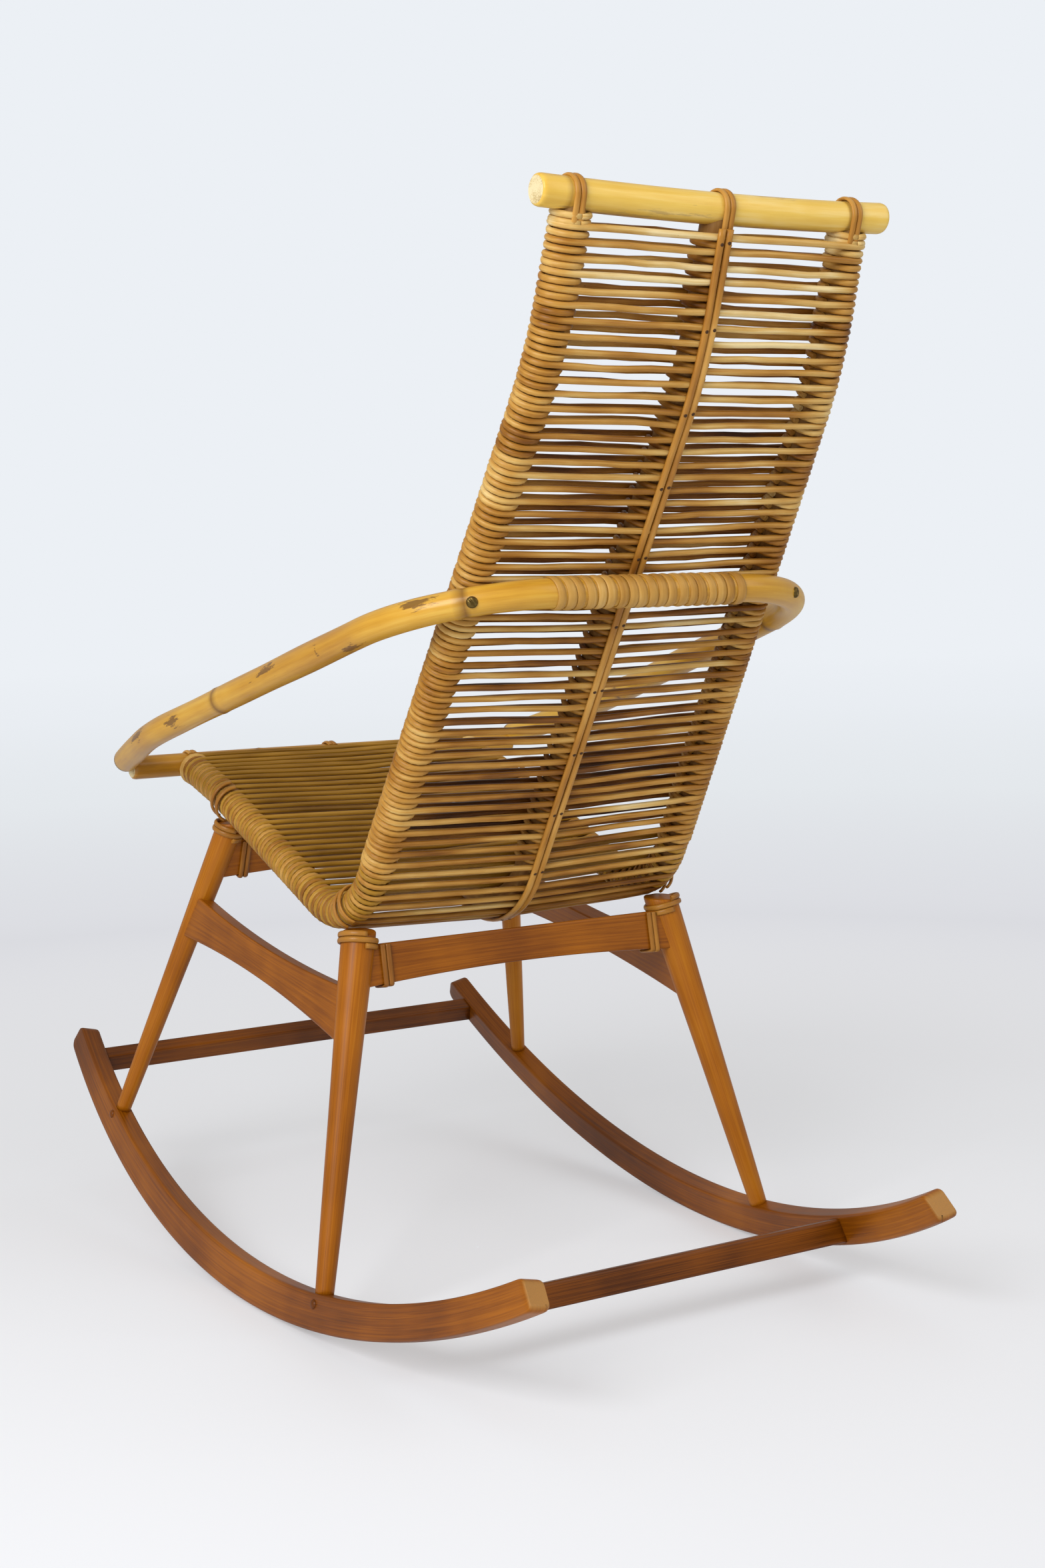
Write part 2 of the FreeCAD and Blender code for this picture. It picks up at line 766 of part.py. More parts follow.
def build_base():
    cones = {}
    for name, foot, high, r0, r1 in (("rear", rear_foot, rear_high, rear_foot_r, rear_high_r),
                                     ("front", front_foot, front_high, front_foot_r, front_high_r)):
        cones[name] = (foot, high, r0, r1)
    rocker = rocker_solid()
    board = side_board()
    pegs = []
    legs = {}
    for name, (foot, high, r0, r1) in cones.items():
        rocker = rocker.cut(foot_socket(foot, high)).cut(peg(foot, high, fit))
        board = biggest(board.cut(leg_cone(foot, high, r0, r1, fit)))
        legs[name] = leg_local(foot, high, r0, r1).cut(peg(foot, high, fit))
        pegs.append(peg(foot, high))
    for name, pair, ahead in (("rear", side_rear, -1), ("front", side_front, 1)):
        foot, high = cones[name][:2]
        board = board.fuse(side_stub(foot, high, pair, ahead)).removeSplitter()
        legs[name] = legs[name].cut(side_stub(foot, high, pair, ahead, fit))
    rocker = placed(rocker)
    for y0 in (rear_bar_y, front_bar_y):
        rocker = rocker.cut(bar_socket(y0))
    rocker = sole_trim(rocker)
    board = placed(board)
    peg_set = [placed(shape) for shape in pegs]
    for name, levels, top in (("rear", rear_apron, rear_top_z), ("front", front_apron, front_top_z)):
        foot, high, r0, r1 = cones[name]
        leg = placed(legs[name])
        near = near_rail(on_axis(foot, high, top))
        coil = bar(side_path, coil_r + lay, near - 3 * coil_r, near + 3 * coil_r)
        above = Part.makeBox(2 * clear_all, 2 * clear_all, clear_all, V(-clear_all, -clear_all, top))
        leg = leg.cut([above, coil])
        leg = biggest(biggest(leg).cut(apron_stub(foot, high, levels, fit)))
        apron = apron_board(foot, high, levels)
        cuts = [placed(leg_cone(foot, high, r0, r1, fit)), ring_room(foot, high, r0, r1, top)]
        apron = biggest(apron.cut(cuts + [mirrored(c) for c in cuts]))
        stub = apron_stub(foot, high, levels)
        apron = apron.fuse([stub, mirrored(stub)]).removeSplitter()
        parts["%s_apron" % name] = apron
        parts["%s_leg_left" % name] = leg
        parts["%s_leg_right" % name] = mirrored(leg)
    parts["rocker_left"] = rocker
    parts["rocker_right"] = mirrored(rocker)
    parts["side_stretcher_left"] = board
    parts["side_stretcher_right"] = mirrored(board)
    parts["rocker_rear_stretcher"] = cross_bar(rear_bar_y)
    parts["rocker_front_stretcher"] = cross_bar(front_bar_y)
    parts["rocker_pegs"] = group(peg_set + [mirrored(s) for s in peg_set])


def build_frame():
    left = biggest(rail(side_path).cut(screw(fit)))
    parts["side_rail_left"] = left
    parts["side_rail_right"] = mirrored(left)
    parts["centre_rail"] = rail(centre_path)
    top = Part.makeCylinder(top_rail_r, 2 * top_rail_half, V(-top_rail_half, top_y, top_z), AXIS_X)
    parts["top_rail"] = bevelled(top, top_rail_bevel)
    low = Part.makeCylinder(cross_r, 2 * cross_half, V(-cross_half, front_y, front_z), AXIS_X)
    parts["front_cross_pole"] = bevelled(low, cross_bevel)
    parts["arm_hoop"] = hoop()


def build_windings():
    back = half_shell(side_path, coil_start, back_end - 0.1)
    room = bar(hoop_path, hoop_r + lay, 0, hoop_path.length / 2)
    back = biggest(back.cut([room, screw(fit)]))
    seat = half_shell(side_path, back_end + 0.1, rail_length - coil_end)
    parts["back_wrap_left"] = back
    parts["back_wrap_right"] = mirrored(back)
    parts["seat_wrap_left"] = seat
    parts["seat_wrap_right"] = mirrored(seat)
    parts["back_reeds_rear"] = group(back_spans(1, 0.0))
    parts["back_reeds_front"] = group(back_spans(-1, 0.0))
    parts["seat_reeds_under"] = group(seat_spans(1, 0.0))
    parts["seat_reeds_top"] = group(seat_spans(-1, 0.5))
    parts["back_strip_left"] = strip(1)
    parts["back_strip_right"] = strip(-1)
    parts["hoop_winding"] = flat_winding()


def build_ties():
    one = screw()
    parts["hoop_screws"] = group([one, mirrored(one)])
    tops = []
    for path, x in ((side_path, top_x), (centre_path, 0.0)):
        p, t = path.at(0.0)
        for dx in (-tie_apart, tie_apart):
            tops.append(tie(p, t * -1, top_rail_r, x + dx, tie_legs))
    tops.extend([mirrored(s) for s in tops[:2]])
    parts["top_rail_ties"] = group(tops)
    fronts = []
    for path, x in ((side_path, front_x), (centre_path, 0.0)):
        p, t = path.at(path.length)
        for dx in (-tie_apart, tie_apart):
            fronts.append(tie(p, t, cross_r, x + dx, knot_legs))
    fronts.extend([mirrored(s) for s in fronts[:2]])
    parts["front_pole_ties"] = group(fronts)
    for name, foot, high, r0, r1, top in (
            ("rear", rear_foot, rear_high, rear_foot_r, rear_high_r, rear_top_z),
            ("front", front_foot, front_high, front_foot_r, front_high_r, front_top_z)):
        base, d, r, rate = ring_spot(foot, high, r0, r1, top)
        ring = winding(base, d, r, rate, ring_pitch, ring_turns, round_sides)
        s = near_rail(on_axis(foot, high, top))
        loops = [outer_loop(side_path, s + ds) for ds in (-6.0, 6.0)]
        levels = rear_apron if name == "rear" else front_apron
        inner = on_axis(foot, high, levels[1]).x - r - 3.0
        straps = [apron_strap(foot, high, levels, inner - dx) for dx in (0.0, 2 * tie_apart)]
        left = group([ring] + loops + straps)
        parts["%s_binding_left" % name] = left
        parts["%s_binding_right" % name] = mirrored(left)


build_base()
build_frame()
build_windings()
build_ties()

box = FreeCAD.BoundBox()
for name in parts:
    parts[name] = parts[name].copy()
    parts[name].rotate(V(0, 0, roll_radius), AXIS_X, -rest_tilt)
    box.add(parts[name].optimalBoundingBox(False, False))
middle = (box.YMin + box.YMax) / 2
os.makedirs("parts", exist_ok=True)
for name, shape in parts.items():
    shape.translate(V(0, -middle, -box.ZMin))
    shape.exportStep("parts/%s.step" % name)
print("shift y", round(middle, 3), "z", round(box.ZMin, 4), "roll", round(roll_radius, 3))
print("size", round(box.XLength, 1), round(box.YLength, 1), round(box.ZLength, 1))
for name, shape in parts.items():
    good = all(s.isValid() for s in shape.Solids)
    print(name, len(shape.Solids), "solids", round(shape.Volume / 1000, 1), "valid" if good else "BAD")
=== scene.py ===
"""Looks of the wound-reed rocking chair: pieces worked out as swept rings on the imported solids."""
import math

import bpy
import numpy as np
from mathutils import Matrix


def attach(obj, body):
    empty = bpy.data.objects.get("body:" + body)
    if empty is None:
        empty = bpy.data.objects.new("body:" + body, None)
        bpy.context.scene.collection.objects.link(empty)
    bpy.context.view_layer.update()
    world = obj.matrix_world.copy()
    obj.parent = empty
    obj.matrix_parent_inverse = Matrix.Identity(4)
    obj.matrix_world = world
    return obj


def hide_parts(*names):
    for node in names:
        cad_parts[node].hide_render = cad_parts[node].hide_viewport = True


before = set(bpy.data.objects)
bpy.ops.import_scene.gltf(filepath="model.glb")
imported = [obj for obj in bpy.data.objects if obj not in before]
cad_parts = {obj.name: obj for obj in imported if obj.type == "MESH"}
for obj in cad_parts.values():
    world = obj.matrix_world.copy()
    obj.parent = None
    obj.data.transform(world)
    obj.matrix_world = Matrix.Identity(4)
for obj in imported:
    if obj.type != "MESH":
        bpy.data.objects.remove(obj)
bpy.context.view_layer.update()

bl_info = {
    "name": "Wound-reed rocking chair",
    "version": (1, 0, 0),
    "blender": (4, 5, 0),
    "location": "3D View > Sidebar > Chair",
    "description": "Builds the visible pieces of a rocking chair with a wound reed seat and back",
    "category": "Object",
}

# The chair is drawn level on its rockers, in millimetres, then leaned back to where it rests
ROLL_RADIUS = 952.287
REST_TILT = math.radians(-4.4)
REST_SHIFT = (0.0, 45.321, -0.21)

# Side frames lean inward and toe out
CANT = math.radians(14.0)
TOE = math.radians(1.7)
HALF_TRACK = 272.8
SOLE = 2.0

ROCKER = {"radius": 924.0, "high": 35.5, "thick": 22.0, "front": -473.0, "rear": 510.0, "rake": 13.0}
REAR_LEG = {"foot": (179.7, 53.2), "high": (109.6, 330.4), "r": (9.0, 15.6), "top": 374.5}
FRONT_LEG = {"foot": (-322.1, 95.0), "high": (-238.5, 370.0), "r": (8.2, 13.0), "top": 429.0}
REAR_APRON = (320.5, 361.0)
FRONT_APRON = (368.0, 412.0)
APRON_ARCH = 8.0
APRON_THICK = 18.0
SIDE_BOARD = {"front": (354.0, 307.0), "mid": (333.5, 301.5), "rear": (331.0, 277.0), "thick": 19.0}
# Where the two lengths of a rocker are scarfed together
SPLICE = 247.0
CROSS_BAR = {"tall": 24.0, "wide": 17.5, "sink": 1.5, "rear": 339.0, "front": -427.0}

HOOP_SLOPE = 0.356
HOOP_LEVEL = 709.5
HOOP_MEET = 293.5
HOOP_BACK = 310.5
BACKDROP = "#ecf0f5"
ROW_START = 25.0
ROW_END = 7.5
rng = np.random.default_rng(7)


def linear(text):
    """sRGB hex text to linear red, green, blue, alpha."""
    parts = np.array([int(text[i:i + 2], 16) for i in (1, 3, 5)]) / 255.0
    low = parts / 12.92
    high = ((parts + 0.055) / 1.055) ** 2.4
    return tuple(np.where(parts <= 0.04045, low, high)) + (1.0,)


class ChairSizes(bpy.types.PropertyGroup):
    """Sizes in millimetres that a user would change."""
    pole: bpy.props.FloatProperty(name="Rail radius", description="Seat and back rails, mm", default=12.2)
    reed: bpy.props.FloatProperty(name="Reed radius", description="Round reed, mm", default=3.0)
    pitch: bpy.props.FloatProperty(name="Row pitch", description="Crossing and wrap, mm", default=12.6)
    hoop: bpy.props.FloatProperty(name="Hoop radius", description="Bent arm hoop, mm", default=13.5)
    top: bpy.props.FloatProperty(name="Top rail radius", description="Top rail, mm", default=13.5)
    cross: bpy.props.FloatProperty(name="Front pole radius", description="Front pole, mm", default=12.8)
    wander: bpy.props.FloatProperty(name="Wander", description="Waviness of the reeds, mm", default=1.3)


class ChairColours(bpy.types.PropertyGroup):
    """Main colour of each finish."""
    floor: bpy.props.FloatVectorProperty(name="Floor", description="Pale studio floor", subtype="COLOR",
                                         size=4, default=linear("#e9ecf2"))
    brass: bpy.props.FloatVectorProperty(name="Brass", description="Aged screw heads", subtype="COLOR",
                                         size=4, default=linear("#7d6a3c"))


def sizes():
    return bpy.context.scene.chair_sizes


def colours():
    return bpy.context.scene.chair_colours


# Paths and rings


def bends(points, rounds):
    """Straight runs joined by round bends: rows of start, centre, spoke, direction and radius."""
    points = np.array(points, float)
    rows = []
    start = points[0]
    base = 0.0
    for i in range(1, len(points) - 1):
        back = (points[i - 1] - points[i]) / np.linalg.norm(points[i - 1] - points[i])
        ahead = (points[i + 1] - points[i]) / np.linalg.norm(points[i + 1] - points[i])
        half = math.acos(np.clip(back @ ahead, -1, 1)) / 2
        r = rounds[i - 1]
        p = points[i] + back * (r / math.tan(half))
        rows.append((base, start, None, -back, 0.0))
        base += np.linalg.norm(p - start)
        both = (back + ahead) / np.linalg.norm(back + ahead)
        centre = points[i] + both * (r / math.sin(half))
        rows.append((base, centre, p - centre, -back, r))
        base += r * (math.pi - 2 * half)
        start = points[i] + ahead * (r / math.tan(half))
    last = points[-1] - start
    rows.append((base, start, None, last / np.linalg.norm(last), 0.0))
    return rows, base + np.linalg.norm(last)


def walk(path, s):
    """Points and directions at lengths s along a path of runs and bends."""
    s = np.atleast_1d(np.asarray(s, float))
    p = np.zeros(s.shape + (3,))
    t = np.zeros(s.shape + (3,))
    for base, origin, spoke, along, r in path[0]:
        pick = (s >= base) | (base == 0.0)
        d = (s[pick] - base)[:, None]
        if spoke is None:
            p[pick] = origin + along * d
            t[pick] = along
        else:
            a = d / r
            p[pick] = origin + spoke * np.cos(a) + along * r * np.sin(a)
            t[pick] = along * np.cos(a) - spoke / r * np.sin(a)
    return p, t


def unit(v):
    return v / np.linalg.norm(v, axis=-1, keepdims=True)


def outward(t):
    """Square to a rail in the y-z plane, to the rear of the back and the underside of the seat."""
    return unit(np.stack([0 * t[..., 0], -t[..., 2], t[..., 1]], -1))


def circle(sides, r=1.0):
    a = 2 * np.pi * np.arange(sides) / sides
    return np.stack([np.cos(a), np.sin(a)], -1) * r


def rounded(corners, r, steps=3):
    """Closed outline with its corners rounded: each corner is a short curve with a flat point either side."""
    c = np.array(corners, float)
    back = unit(np.roll(c, 1, 0) - c)
    ahead = unit(np.roll(c, -1, 0) - c)
    f = np.linspace(0, 1, steps + 1)[None, :, None]
    a, b = (c + back * r)[:, None], (c + ahead * r)[:, None]
    curve = (1 - f) ** 2 * a + 2 * f * (1 - f) * c[:, None] + f ** 2 * b
    wide = 1.7 * r
    return np.concatenate([(c + back * wide)[:, None], curve, (c + ahead * wide)[:, None]], 1).reshape(-1, 2)


def sweep(p, t, up, shape):
    """Ring at each point: shape's first axis along up, its second along direction x up."""
    u = unit(up - t * np.sum(up * t, -1, keepdims=True))
    w = np.cross(t, u)
    shape = np.broadcast_to(shape, p.shape[:-1] + shape.shape[-2:])
    return p[..., None, :] + shape[..., 0:1] * u[..., None, :] + shape[..., 1:2] * w[..., None, :]


def directions(p):
    return unit(np.gradient(p, axis=-2))


def dome(r, tall, sunk, steps):
    """Profile of a domed head: height sqrt(1 - (1 - f) squared), radius 1 - f, and a sunk first ring."""
    f = np.linspace(0.0, 1.0, steps)
    rise = np.concatenate([[-sunk], tall * np.sqrt(1 - (1 - f) ** 2)])
    return rise, np.concatenate([[r], r * (1 - f)]) + 0.02


def mirrored(grid):
    """The other side's copy, rings turned so that faces still point outward."""
    return (grid * np.array([-1.0, 1.0, 1.0]))[..., ::-1, :]


def to_side(local):
    """Point of a side frame (n across, y along, w up) to the level chair: lean, then toe, then shift."""
    n, y, w = local[..., 0], local[..., 1], local[..., 2]
    lift = ROCKER["thick"] / 2 * math.sin(CANT) - SOLE
    x = n * math.cos(CANT) - w * math.sin(CANT)
    z = n * math.sin(CANT) + w * math.cos(CANT)
    return np.stack([x * math.cos(TOE) - y * math.sin(TOE) + HALF_TRACK,
                     x * math.sin(TOE) + y * math.cos(TOE), z + lift], -1)


def to_rest(p):
    """Level chair in millimetres to the resting chair in metres: a turn about the rocking axis, a shift."""
    c, s = math.cos(REST_TILT), math.sin(REST_TILT)
    y, z = p[..., 1], p[..., 2] - ROLL_RADIUS
    out = np.stack([p[..., 0], y * c - z * s, y * s + z * c + ROLL_RADIUS], -1)
    return (out + np.array(REST_SHIFT)) / 1000.0


def skin(name, grid, finish, nodes=(), marks=None, end_finish=None):
    """One mesh from rings: grid is (strands, rings, ring points, 3); quads join the rings,
    lids close the ends. The lay mark holds cosine and sine of the share of the ring's girth, and the length
    run along the strand."""
    grid = np.asarray(grid, float)
    k, n, m = grid.shape[:3]
    place = to_rest(grid)
    ids = np.arange(k * n * m).reshape(k, n, m)
    ring = place[:, n // 2]
    edge = np.linalg.norm(np.roll(ring, -1, 1) - ring, axis=-1)
    share = (np.cumsum(edge, 1) - edge) / edge.sum(1, keepdims=True)
    hops = np.linalg.norm(np.diff(place.mean(2), axis=1), axis=-1)
    run = np.concatenate([np.zeros((k, 1)), np.cumsum(hops, 1)], 1)
    a, d = ids[:, :-1], ids[:, 1:]
    quads = np.stack([a, np.roll(a, -1, 2), np.roll(d, -1, 2), d], -1).reshape(-1, 4)
    u0 = np.broadcast_to(share[:, None], a.shape)
    u1 = np.broadcast_to(np.concatenate([share[:, 1:], np.ones((k, 1))], 1)[:, None], a.shape)
    v0 = np.broadcast_to(run[:, :-1, None], a.shape)
    v1 = np.broadcast_to(run[:, 1:, None], a.shape)
    uv = np.stack([np.stack([u0, v0], -1), np.stack([u1, v0], -1),
                   np.stack([u1, v1], -1), np.stack([u0, v1], -1)], -2).reshape(-1, 2)
    lids = np.concatenate([ids[:, 0, ::-1], ids[:, -1]])
    disc = np.broadcast_to(circle(m) * 0.5 + 0.5, (len(lids), m, 2))
    uv = np.concatenate([uv, disc.reshape(-1, 2)])
    loops = np.concatenate([quads.reshape(-1), lids.reshape(-1)])
    counts = np.concatenate([np.full(len(quads), 4), np.full(len(lids), m)])
    mesh = bpy.data.meshes.new(name)
    mesh.vertices.add(k * n * m)
    mesh.vertices.foreach_set("co", place.reshape(-1))
    mesh.loops.add(len(loops))
    mesh.loops.foreach_set("vertex_index", loops.astype(np.int32))
    mesh.polygons.add(len(counts))
    mesh.polygons.foreach_set("loop_start", np.concatenate([[0], np.cumsum(counts)[:-1]]).astype(np.int32))
    mesh.polygons.foreach_set("loop_total", counts.astype(np.int32))
    lid = np.arange(len(counts)) >= len(quads)
    mesh.polygons.foreach_set("use_smooth", ~lid)
    mesh.materials.append(finish)
    if end_finish:
        mesh.materials.append(end_finish)
        mesh.polygons.foreach_set("material_index", lid.astype(np.int32))
    layer = mesh.uv_layers.new(name="UVMap")
    layer.uv.foreach_set("vector", uv.reshape(-1))
    turn = np.broadcast_to(2 * np.pi * share[:, None], (k, n, m))
    lay = np.stack([np.cos(turn), np.sin(turn), np.broadcast_to(run[:, :n, None], (k, n, m))], -1)
    attribute = mesh.attributes.new("lay", "FLOAT_VECTOR", "POINT")
    attribute.data.foreach_set("vector", lay.reshape(-1).astype(np.float32))
    marks = dict(marks or {}, seed=rng.uniform(0.0, 60.0, (k, 1, 1)))
    for key, value in marks.items():
        attribute = mesh.attributes.new(key, "FLOAT", "POINT")
        attribute.data.foreach_set("value", np.broadcast_to(value, (k, n, m)).reshape(-1).astype(np.float32))
    mesh.update(calc_edges=True)
    mesh.validate()
    piece = bpy.data.objects.new(name, mesh)
    bpy.context.scene.collection.objects.link(piece)
    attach(piece, "root")
    if nodes:
        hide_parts(*nodes)
    return piece


SIDES = (("left", np.asarray), ("right", mirrored))


# Lines of the chair


def ahead_of(start, run, degrees):
    a = math.radians(degrees)
    return np.array([0.0, start[1] + run * math.cos(a), start[2] + run * math.sin(a)])


def rail_points(drop):
    """Corner points of a rail from the top down the back and out under the seat."""
    corner = np.array([0.0, 81.8, 367.1])
    bend = ahead_of(corner, 622.6, 90 - 27.38)
    crest = ahead_of(bend, 129.9, 90 - 13.3)
    knee = ahead_of(corner, 330.0, 180 - 16.26)
    front = ahead_of(knee, 96.6, 180 - 10.44)
    turn = math.radians(90 - 27.38 + 16.26)
    low = ahead_of(corner, -drop / math.sin(turn), 90 - 27.38)
    return [crest, bend, low, knee - np.array([0, 0, drop]), front]


RAIL_ROUNDS = (420.0, 90.0, 380.0)
SIDE_X = (142.5, 147.0, 175.5, 175.0, 173.5)
SIDE_RAIL = bends([p + np.array([x, 0, 0]) for p, x in zip(rail_points(0.0), SIDE_X)], RAIL_ROUNDS)
CENTRE_RAIL = bends(rail_points(7.0), RAIL_ROUNDS)
BACK_END = SIDE_RAIL[0][3][0]
CREST = rail_points(0.0)[0]
FRONT = rail_points(0.0)[4]


def hoop_point(x, y):
    return np.array([x, y, HOOP_LEVEL + HOOP_SLOPE * (y - HOOP_MEET)])


HOOP_PLAN = [(248.0, -333.0), (271.5, -201.7), (218.0, HOOP_BACK)]
HOOP = bends([hoop_point(x, y) for x, y in HOOP_PLAN] + [hoop_point(-x, y) for x, y in HOOP_PLAN[::-1]],
             (350.0, 134.0, 134.0, 350.0))
HOOP_UP = np.array([0.0, -HOOP_SLOPE, 1.0])


def facing(s):
    """Length along the centre rail that faces a length along the side rail."""
    end = CENTRE_RAIL[0][3][0]
    after = end + (s - BACK_END) / (SIDE_RAIL[1] - BACK_END) * (CENTRE_RAIL[1] - end)
    return np.where(s <= BACK_END, s * end / BACK_END, after)


# Finishes


def add(tree, kind, settings=None, links=None, stops=None):
    """Add one node: settings are its own values or its sockets', links join sockets, stops fill a ramp."""
    made = tree.nodes.new(kind)
    for key, value in (settings or {}).items():
        if isinstance(key, str) and hasattr(made, key):
            setattr(made, key, value)
        else:
            made.inputs[key].default_value = value
    for key, socket in (links or {}).items():
        tree.links.new(socket, made.inputs[key])
    for i, (place, text) in enumerate(stops or []):
        dots = made.color_ramp.elements
        dot = dots[i] if i < len(dots) else dots.new(place)
        dot.position = place
        dot.color = linear(text)
    return made


def blank(name):
    """New material with an empty shader, its tree and its shader."""
    made = bpy.data.materials.get(name)
    if made:
        bpy.data.materials.remove(made)
    made = bpy.data.materials.new(name)
    made.use_nodes = True
    tree = made.node_tree
    tree.nodes.clear()
    shader = add(tree, "ShaderNodeBsdfPrincipled")
    add(tree, "ShaderNodeOutputMaterial", links={"Surface": shader.outputs[0]})
    return made, tree, shader


def laid_noise(tree, scale, detail, rough):
    """Noise that follows each strand: its lay is scaled, and its seed moves it to a place of its own."""
    lay = add(tree, "ShaderNodeAttribute", {"attribute_name": "lay"})
    seed = add(tree, "ShaderNodeAttribute", {"attribute_name": "seed"})
    spread = add(tree, "ShaderNodeMapping", {"Scale": scale}, {"Vector": lay.outputs["Vector"]})
    moved = add(tree, "ShaderNodeVectorMath", {"operation": "ADD"},
                {0: spread.outputs[0], 1: seed.outputs["Vector"]})
    return add(tree, "ShaderNodeTexNoise", {"Scale": 1.0, "Detail": detail, "Roughness": rough},
               {"Vector": moved.outputs[0]})


def varnish(shader, weight, rough):
    """Thin clear coat over a finish."""
    shader.inputs["Coat Weight"].default_value = weight
    shader.inputs["Coat Roughness"].default_value = rough


def fibred(name, stops, around, along, share, gloss, patch, stain_share, relief=0.1):
    """Fibrous plant finish: streaks of a given count round the strand and per metre of its length,
    broad stains of a given count per metre, and the strand's own tone, through one ramp of colours."""
    made, tree, shader = blank(name)
    tone = add(tree, "ShaderNodeAttribute", {"attribute_name": "tone"})
    place = add(tree, "ShaderNodeTexCoord")
    girth = around / 2 / math.pi
    streak = laid_noise(tree, (girth, girth, along), 4.0, 0.62)
    wide = add(tree, "ShaderNodeMapping", {"Scale": patch}, {"Vector": place.outputs["Object"]})
    stain = add(tree, "ShaderNodeTexNoise", {"Scale": 1.0, "Detail": 3.0, "Roughness": 0.55},
                {"Vector": wide.outputs[0]})
    thin = add(tree, "ShaderNodeMapRange",
                {"From Min": 0.28, "From Max": 0.72, "To Min": -share, "To Max": share},
               {"Value": streak.outputs["Fac"]})
    broad = add(tree, "ShaderNodeMapRange",
                {"From Min": 0.32, "From Max": 0.68, "To Min": -stain_share, "To Max": stain_share},
                {"Value": stain.outputs["Fac"]})
    mixed = add(tree, "ShaderNodeMath", {"operation": "ADD"}, {0: tone.outputs["Fac"], 1: thin.outputs[0]})
    level = add(tree, "ShaderNodeMath", {"operation": "ADD"}, {0: mixed.outputs[0], 1: broad.outputs[0]})
    ramp = add(tree, "ShaderNodeValToRGB", {}, {"Fac": level.outputs[0]}, stops)
    rough = add(tree, "ShaderNodeMapRange", {"To Min": gloss - 0.08, "To Max": gloss + 0.14},
                {"Value": streak.outputs["Fac"]})
    bump = add(tree, "ShaderNodeBump", {"Strength": relief, "Distance": 0.002},
               {"Height": streak.outputs["Fac"]})
    tree.links.new(ramp.outputs["Color"], shader.inputs["Base Color"])
    tree.links.new(rough.outputs[0], shader.inputs["Roughness"])
    tree.links.new(bump.outputs[0], shader.inputs["Normal"])
    shader.inputs["Specular IOR Level"].default_value = 0.2
    return made, tree, shader, ramp


def reed_finish():
    """Round rattan core under old varnish: long fibres, cream to brown by the reed, dark flecks, satin."""
    stops = [(0.0, "#452506"), (0.2, "#754610"), (0.4, "#9f6b24"), (0.6, "#bb8a3e"), (0.8, "#d0aa62"),
             (1.0, "#e6cf98")]
    made, tree, shader, ramp = fibred("varnished_reed", stops,
                                      9.0, 16.0, 0.12, 0.4, (9.0, 24.0, 24.0), 0.2, 0.16)
    scuffed(tree, ramp, shader, "#57371a", (1.2, 1.2, 110.0), 0.69)
    varnish(shader, 0.1, 0.3)
    return made


def seat_reed_finish():
    """The same core, darkened by use: olive brown across the seat, honey where it turns round the rails."""
    stops = [(0.0, "#2c1a02"), (0.25, "#5e3d08"), (0.5, "#8a6114"), (0.75, "#a97c26"), (1.0, "#c39640")]
    made, _, shader, _ = fibred("worn_seat_reed", stops,
                                9.0, 16.0, 0.1, 0.36, (8.0, 20.0, 20.0), 0.12, 0.12)
    varnish(shader, 0.12, 0.3)
    return made


def scuffed(tree, ramp, shader, scuff, size, least):
    """Lay worn scuffs over a finish: stretched spots above a level take the scuff colour, and where the
    mesh carries a scuff mark the level is reached sooner."""
    here = add(tree, "ShaderNodeAttribute", {"attribute_name": "scuff"})
    spots = laid_noise(tree, size, 6.0, 0.68)
    raised = add(tree, "ShaderNodeMath", {"operation": "MULTIPLY_ADD", 1: 0.3},
                 {0: here.outputs["Fac"], 2: spots.outputs["Fac"]})
    amount = add(tree, "ShaderNodeMapRange", {"From Min": least, "From Max": least + 0.05, "To Max": 0.8},
                 {"Value": raised.outputs[0]})
    laid = add(tree, "ShaderNodeMix", {"data_type": "RGBA", 7: linear(scuff)},
               {0: amount.outputs[0], 6: ramp.outputs["Color"]})
    tree.links.new(laid.outputs[2], shader.inputs["Base Color"])
    return laid


def darkened(tree, colour, shader, mark, shade):
    """Mix a colour toward a shade by a mark on the mesh."""
    here = add(tree, "ShaderNodeAttribute", {"attribute_name": mark})
    laid = add(tree, "ShaderNodeMix", {"data_type": "RGBA", 7: linear(shade)},
               {0: here.outputs["Fac"], 6: colour})
    tree.links.new(laid.outputs[2], shader.inputs["Base Color"])
    return laid.outputs[2]


def pole_finish():
    """Bent rattan pole with its skin on: golden, streaked, dark growth rings, brown scuffs, worn varnish; the
    ring mark also carries painted shade at the hoop's ends.
    """
    stops = [(0.0, "#8a5a14"), (0.25, "#b27c22"), (0.5, "#cb9832"), (0.75, "#dcb24c"), (1.0, "#ecd083")]
    made, tree, shader, ramp = fibred("honey_rattan_pole", stops,
                                      14.0, 9.0, 0.14, 0.32, (7.0, 7.0, 7.0), 0.16, 0.05)
    laid = scuffed(tree, ramp, shader, "#64401a", (2.6, 2.6, 42.0), 0.7)
    darkened(tree, laid.outputs[2], shader, "ring", "#6e4516")
    varnish(shader, 0.35, 0.22)
    return made


def pale_pole_finish():
    """Peeled pole of the top rail: straw yellow, glossy, with rubbed paler patches."""
    stops = [(0.0, "#9c6c16"), (0.25, "#c39028"), (0.5, "#d9aa3c"), (0.75, "#e6c05c"), (1.0, "#f2da98")]
    made, tree, shader, ramp = fibred("straw_rattan_pole", stops,
                                      12.0, 8.0, 0.14, 0.28, (8.0, 8.0, 8.0), 0.16, 0.04)
    laid = scuffed(tree, ramp, shader, "#c2a05c", (1.0, 1.0, 11.0), 0.58)
    darkened(tree, laid.outputs[2], shader, "ring", "#8a6226")
    varnish(shader, 0.25, 0.2)
    return made


